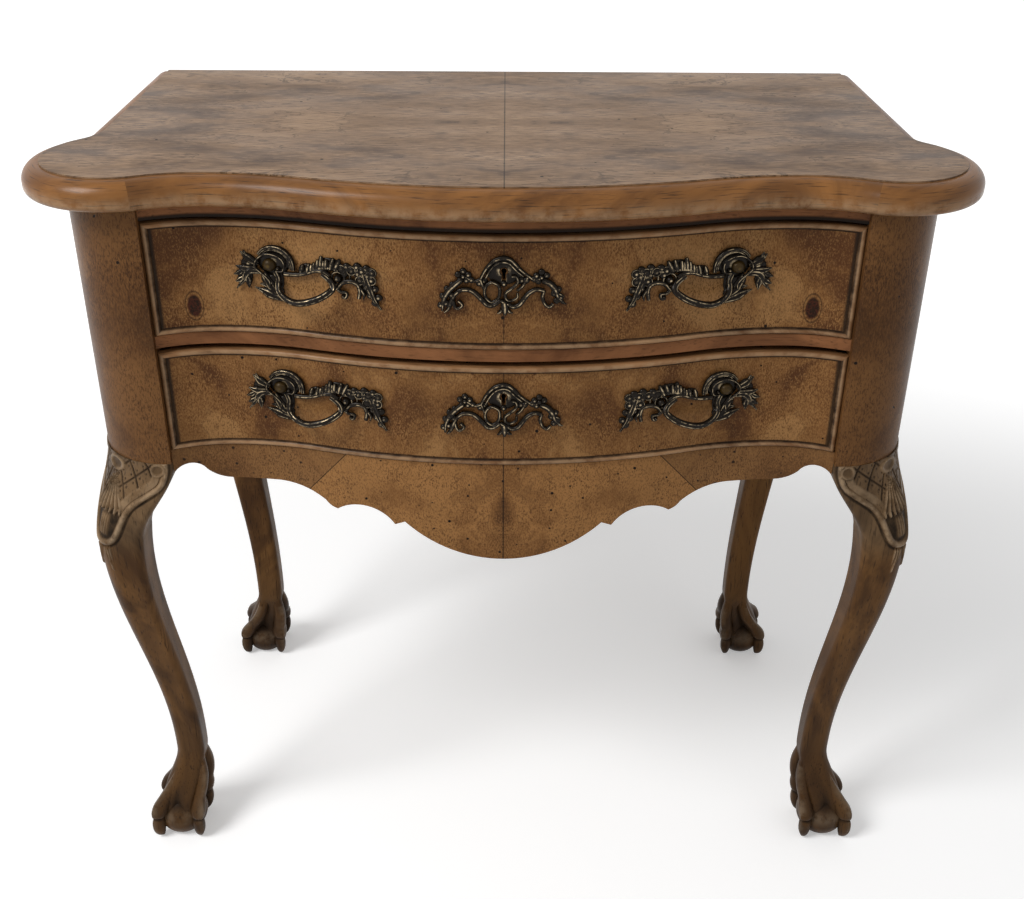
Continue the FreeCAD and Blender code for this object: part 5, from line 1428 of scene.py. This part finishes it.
# %% Paths of an escutcheon
CREST = [(-21, 15), (-16.4, 24), (-11.5, 30.2), (-6.6, 33.7), (0, 35.3), (5.7, 33.7), (10, 29.4),
         (14.8, 24.2), (21.5, 18.5)]
ESCUTCHEON_STRANDS = [
    # half-widths, height and path
    ((1.2, 1.9, 1.2), 2.8, CREST),
    ((1.0, 1.3, 1.0), 2.6, shrunk(CREST, 0.80, (0, 16))),
    ((1.3, 1.3, 1.3), 2.6, [(-10.7, 12.7), (-4.9, 9.2), (-3.6, 3), (-5.3, -3.2), (-10.7, -6.8), (-15.7, -3.3),
                            (-17.4, 2.9), (-15.7, 9.1), (-10.7, 12.7)]),
    ((1.0, 1.3, 0.9), 2.9, [(7, 18), (11, 17.5), (12.5, 13.5), (10.8, 10.1), (5.9, 5.7), (1.8, 2.2),
                            (1.8, -3.2), (5.9, -5.4), (11.8, -2.3), (12.1, 2.5)]),
    ((1.6, 2.0, 1.6), 2.8, [(-44, 0), (-39, 4.2), (-31.5, 4.8), (-25.7, 1.8), (-19.9, -4.3), (-14.9, -9.4),
                            (-9.1, -9.4), (-3.2, -5)]),
    ((1.6, 2.0, 1.6), 2.8, [(3, -8), (8, -11), (13.5, -9.4), (17.6, -4.1), (22.5, 2.1), (29.1, 5.6),
                            (36, 4.2)]),
    ((1.4, 1.8, 1.4), 2.6, [(-3.2, -5), (0, -7), (3, -8)]),
    ((1.4, 1.2, 1.4), 2.2, [(-34, 17), (-27, 13), (-21, 14.5)]),
    ((1.4, 1.2, 1.4), 2.2, [(21.5, 18.5), (27, 14.5), (32, 15.5)]),
    ((1.4, 1.2, 1.2), 2.2, [(-21, 15), (-19, 9), (-17, 4)]),
    ((1.4, 1.2, 1.2), 2.2, [(21, 17), (17, 9), (12, 4)]),
    ((2.2, 2.6, 0.8), 2.6, [(-38, 14), (-44, 9), (-49.8, 2.9), (-54.2, -6.2), (-55.5, -16.5)]),
    ((1.4, 1.2, 1.4), 2.8, [(-45.8, -5.9), (-44.5, -11), (-41.7, -13.8), (-37.5, -10.1), (-40.8, -6)]),
    ((1.6, 1.8, 0.6), 2.4, [(-44, 0), (-47, -6), (-50, -14), (-54, -18)]),
    ((2.2, 2.6, 0.8), 2.6, [(36, 13.5), (41, 11), (45.8, 5.3), (48.5, -1.9), (54.5, -8.5)]),
    ((1.2, 1.0, 0.4), 2.2, [(47, 2), (51, 0), (54.5, -2.1)]),
    ((1.2, 1.0, 0.4), 2.2, [(49, -4), (53, -8), (56.5, -9.3)]),
    ((1.4, 1.3, 1.4), 2.8, [(36, 4.2), (34.6, -2), (36.9, -8.8), (41.1, -11.6), (44.4, -8.6)]),
    ((2.6, 3.0, 1.0), 2.4, [(0.5, -7), (1, -13), (1, -19.5)]),
    ((1.2, 1.4, 0.5), 2.2, [(0, -11), (-3, -16), (-6, -18)]),
    ((1.2, 1.4, 0.5), 2.2, [(2, -11), (5, -16), (8, -17.5)]),
]
GROUND_KNOBS = [((-19, 12), (5, 4)), ((17, 13), (6, 4))]
WING_LOBES = [(-46, 9), (-51, 5), (-47, -1), (-55, -2), (-52, -9), (-57, -11), (43, 9.5), (49, 5), (45, 1),
              (51, -3), (47.5, -6), (-29, 14), (27, 15), (-22, 11), (20, 14)]
FLOWER_PLACES = [(-36.3, 17.5), (33.5, 17)]
print("strands and lobes of an escutcheon:", len(ESCUTCHEON_STRANDS), len(WING_LOBES))

# %% Parts of an escutcheon
KEYHOLE = (0, 22)
HOLE_RADIUS = 3.6
SLOT_HALF, SLOT_LENGTH = 2.0, 9.5
PLATE_HALVES = (15.5, 12.5)
BOLDER = 1.3
PETALS, PETAL_REACH = 5, 4.8


def keyhole_plate():
    """A plate round the keyhole: from a hole with a slot below it out to an oval, by the angle round the
    hole and the way over the plate's section."""
    turn = np.linspace(0, 2 * math.pi, 97)[:, None]
    lean = turn + math.pi / 2
    slot = np.minimum(SLOT_LENGTH, SLOT_HALF / (np.abs(np.sin(lean)) + 1e-6))
    inner = np.maximum(HOLE_RADIUS, np.where(np.cos(lean) > 0, slot, 0))
    outer = 1 / np.hypot(np.cos(turn) / PLATE_HALVES[0], np.sin(turn) / PLATE_HALVES[1])
    reach = np.concatenate([inner, inner, inner + 0.8, outer - 1.2, outer, outer, inner], axis=1)
    points = raised_circle(KEYHOLE, reach, turn, np.array([0.2, 1.5, 2.1, 1.7, 1.1, 0.2, 0.2]))
    return sheet(points, None, np.array([0, 0.4, 0.9, 0.1, 0.3, 0, 0]), np.array([1, 0.3, 0, 0.5, 0.5, 1, 1]))


def escutcheon_sheets():
    """All the parts of an escutcheon, drawn flat."""
    parts = [keyhole_plate(), knob((0, 10.5), 3.2, 3.0, 1.0)]
    parts += [knob(place, size, 1.6) for place, size in GROUND_KNOBS]
    for halves, height, path in ESCUTCHEON_STRANDS:
        parts.append(strand([BOLDER * half for half in halves], height, path))
    parts += [knob(place, 3.2, 2.2, 2.0) for place in WING_LOBES]
    turn = math.pi / 2 + 2 * math.pi / PETALS * np.arange(PETALS)
    for place in FLOWER_PLACES:
        parts += [knob(petal, 3.2, 2.6, 2.0) for petal in on_circle(place, PETAL_REACH, turn)]
        parts.append(knob(place, 2.6, 3.2, 2.2))
    return parts


print("an escutcheon has", len(escutcheon_sheets()), "sheets")

# %% Place the castings
PULL_CENTRE = 0.1825
CABOCHON = knob((32.5, 14.5), (6.6, 6.2), 5.5, 2.0)


def on_drawer(sheets, centre_x, middle_z, side):
    """Lay flat sheets on the drawer's front; a left-hand casting is the mirror of a right-hand one."""
    laid = []
    for points, *rest in sheets:
        p, q, n = (points[..., axis] / 1000 for axis in range(3))
        laid.append(sheet(on_front(side * (centre_x + p), middle_z + q, n), *rest))
    return laid


for drawer in DRAWERS:
    body = drawer + "_drawer"
    low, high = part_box(body + "_front")
    middle_z = (low.z + high.z) / 2
    plate = place_piece(drawer + "_key_plate", on_drawer(escutcheon_sheets(), 0.0, middle_z, 1), cast_brass,
                        body, "brass", drawer + "_escutcheon")
    for label, side in SIDES.items():
        name = f"{drawer}_casting_{label}"
        pull = place_piece(name, on_drawer(pull_sheets(), PULL_CENTRE, middle_z, side), cast_brass, body,
                           "brass", f"{drawer}_pull_{label}")
        gem = on_drawer([CABOCHON], PULL_CENTRE, middle_z, side)
        place_piece(name + "_boss", gem, olive_brass, body, "brass")
    print(drawer, "castings:", len(pull.polygons), "faces in a pull,", len(plate.polygons), "in a plate")

# %% [markdown]
# ## Light, floor and camera
# A pale floor, a large soft lamp from the front left, a faint one from the right and an even sky keep the
# colours near what is written. The floor's own glow is seen only by the camera and by reflections, and grows
# with the distance from the chest, so the floor reads as white further off and still takes the shadow of the
# chest; the weaker glow near the chest is painted shade round it.

# %% Floor and sky
def seen_directly(tree):
    """1 for rays that show the background itself: from the camera, or reflected or passed on to it."""
    path = add(tree, "ShaderNodeLightPath").outputs
    seen = maths(tree, "MAXIMUM", path["Is Camera Ray"], path["Is Glossy Ray"])
    return maths(tree, "MAXIMUM", seen, path["Is Transmission Ray"])


FLOOR_HALF = 9.0
FLOOR_GREY = (0.86, 0.86, 0.86, 1)
GLOW_START, GLOW_END = 0.6, 2.4
GLOW_NEAR, GLOW_FAR = 0.32, 0.78
SKY_LIGHT = 0.42
corners = np.array([[-1, -1, 0], [1, -1, 0], [1, 1, 0], [-1, 1, 0]]) * FLOOR_HALF
floor_mesh = bpy.data.meshes.new("floor")
floor_mesh.from_pydata(corners.tolist(), [], [[0, 1, 2, 3]])
floor_material, tree, shader = start_material("pale_floor")
floor_mesh.materials.append(floor_material)
into_scene("floor", floor_mesh)
tree.nodes.remove(shader)
matt = add(tree, "ShaderNodeBsdfDiffuse", {"Color": FLOOR_GREY})
away = add(tree, "ShaderNodeVectorMath", {0: object_coordinate(tree)}, operation="LENGTH").outputs["Value"]
# Painted shade: the floor's glow is weaker near the chest.
level = band(tree, away, GLOW_START, GLOW_END, GLOW_NEAR, GLOW_FAR)
glow = add(tree, "ShaderNodeEmission", {"Strength": maths(tree, "MULTIPLY", seen_directly(tree), level)})
both = add(tree, "ShaderNodeAddShader", {0: matt.outputs[0], 1: glow.outputs[0]})
tree.links.new(both.outputs[0], tree.nodes["Material Output"].inputs["Surface"])

world = bpy.data.worlds.new("sky")
bpy.context.scene.world = world
world.use_nodes = True
tree = world.node_tree
strength = maths(tree, "MULTIPLY_ADD", seen_directly(tree), 1.0 - SKY_LIGHT, SKY_LIGHT)
tree.links.new(strength, tree.nodes["Background"].inputs["Strength"])
tree.nodes["Background"].inputs["Color"].default_value = (1, 1, 1, 1)
print("floor and sky:", floor_mesh.name, world.name)


# %% Lamps
def stand(made, right, up, back, place):
    """Put a lamp or a camera at a place by its own three directions."""
    matrix = np.eye(4)
    matrix[:3, :4] = np.stack([right, up, back, place], axis=1)
    made.matrix_world = Matrix(matrix.tolist())


def lamp(name, place, target, size, power):
    """A square soft lamp turned towards a point."""
    data = bpy.data.lights.new(name, "AREA")
    data.size = size
    data.energy = power
    back = unit(np.array(place) - np.array(target))
    right = unit(np.cross((0, 0, 1), back))
    stand(into_scene(name, data), right, np.cross(back, right), back, place)


LAMPS = {
    # place, target, size and power
    "window": ((-2.0, -1.4, 2.9), (0, 0, 0.4), 1.3, 80),
    "fill": ((1.9, -2.2, 1.5), (0, 0, 0.5), 1.8, 2),
}
for name, settings in LAMPS.items():
    lamp(name, *settings)
print("lamps:", *LAMPS)

# %% Camera
IMAGE_WIDTH = 1024
FOCAL_PIXELS = 1249.87
SENSOR_WIDTH = 36.0
CAMERA_PLACE = (0.0013, -1.2625, 1.1241)
YAW, PITCH, ROLL = 0.0066, 0.5072, 0.0068
forward = np.array([math.sin(YAW) * math.cos(PITCH), math.cos(YAW) * math.cos(PITCH), -math.sin(PITCH)])
level = np.array([math.cos(YAW), -math.sin(YAW), 0.0])
upward = np.cross(level, forward)
right = math.cos(ROLL) * level + math.sin(ROLL) * upward
up = -math.sin(ROLL) * level + math.cos(ROLL) * upward
camera_data = bpy.data.cameras.new("camera")
camera_data.sensor_fit = "HORIZONTAL"
camera_data.sensor_width = SENSOR_WIDTH
camera_data.lens = FOCAL_PIXELS * SENSOR_WIDTH / IMAGE_WIDTH
camera = into_scene("camera", camera_data)
stand(camera, right, up, -forward, CAMERA_PLACE)
bpy.context.scene.camera = camera
bpy.context.scene.view_settings.view_transform = "Standard"
print("camera lens, mm:", round(camera_data.lens, 2))
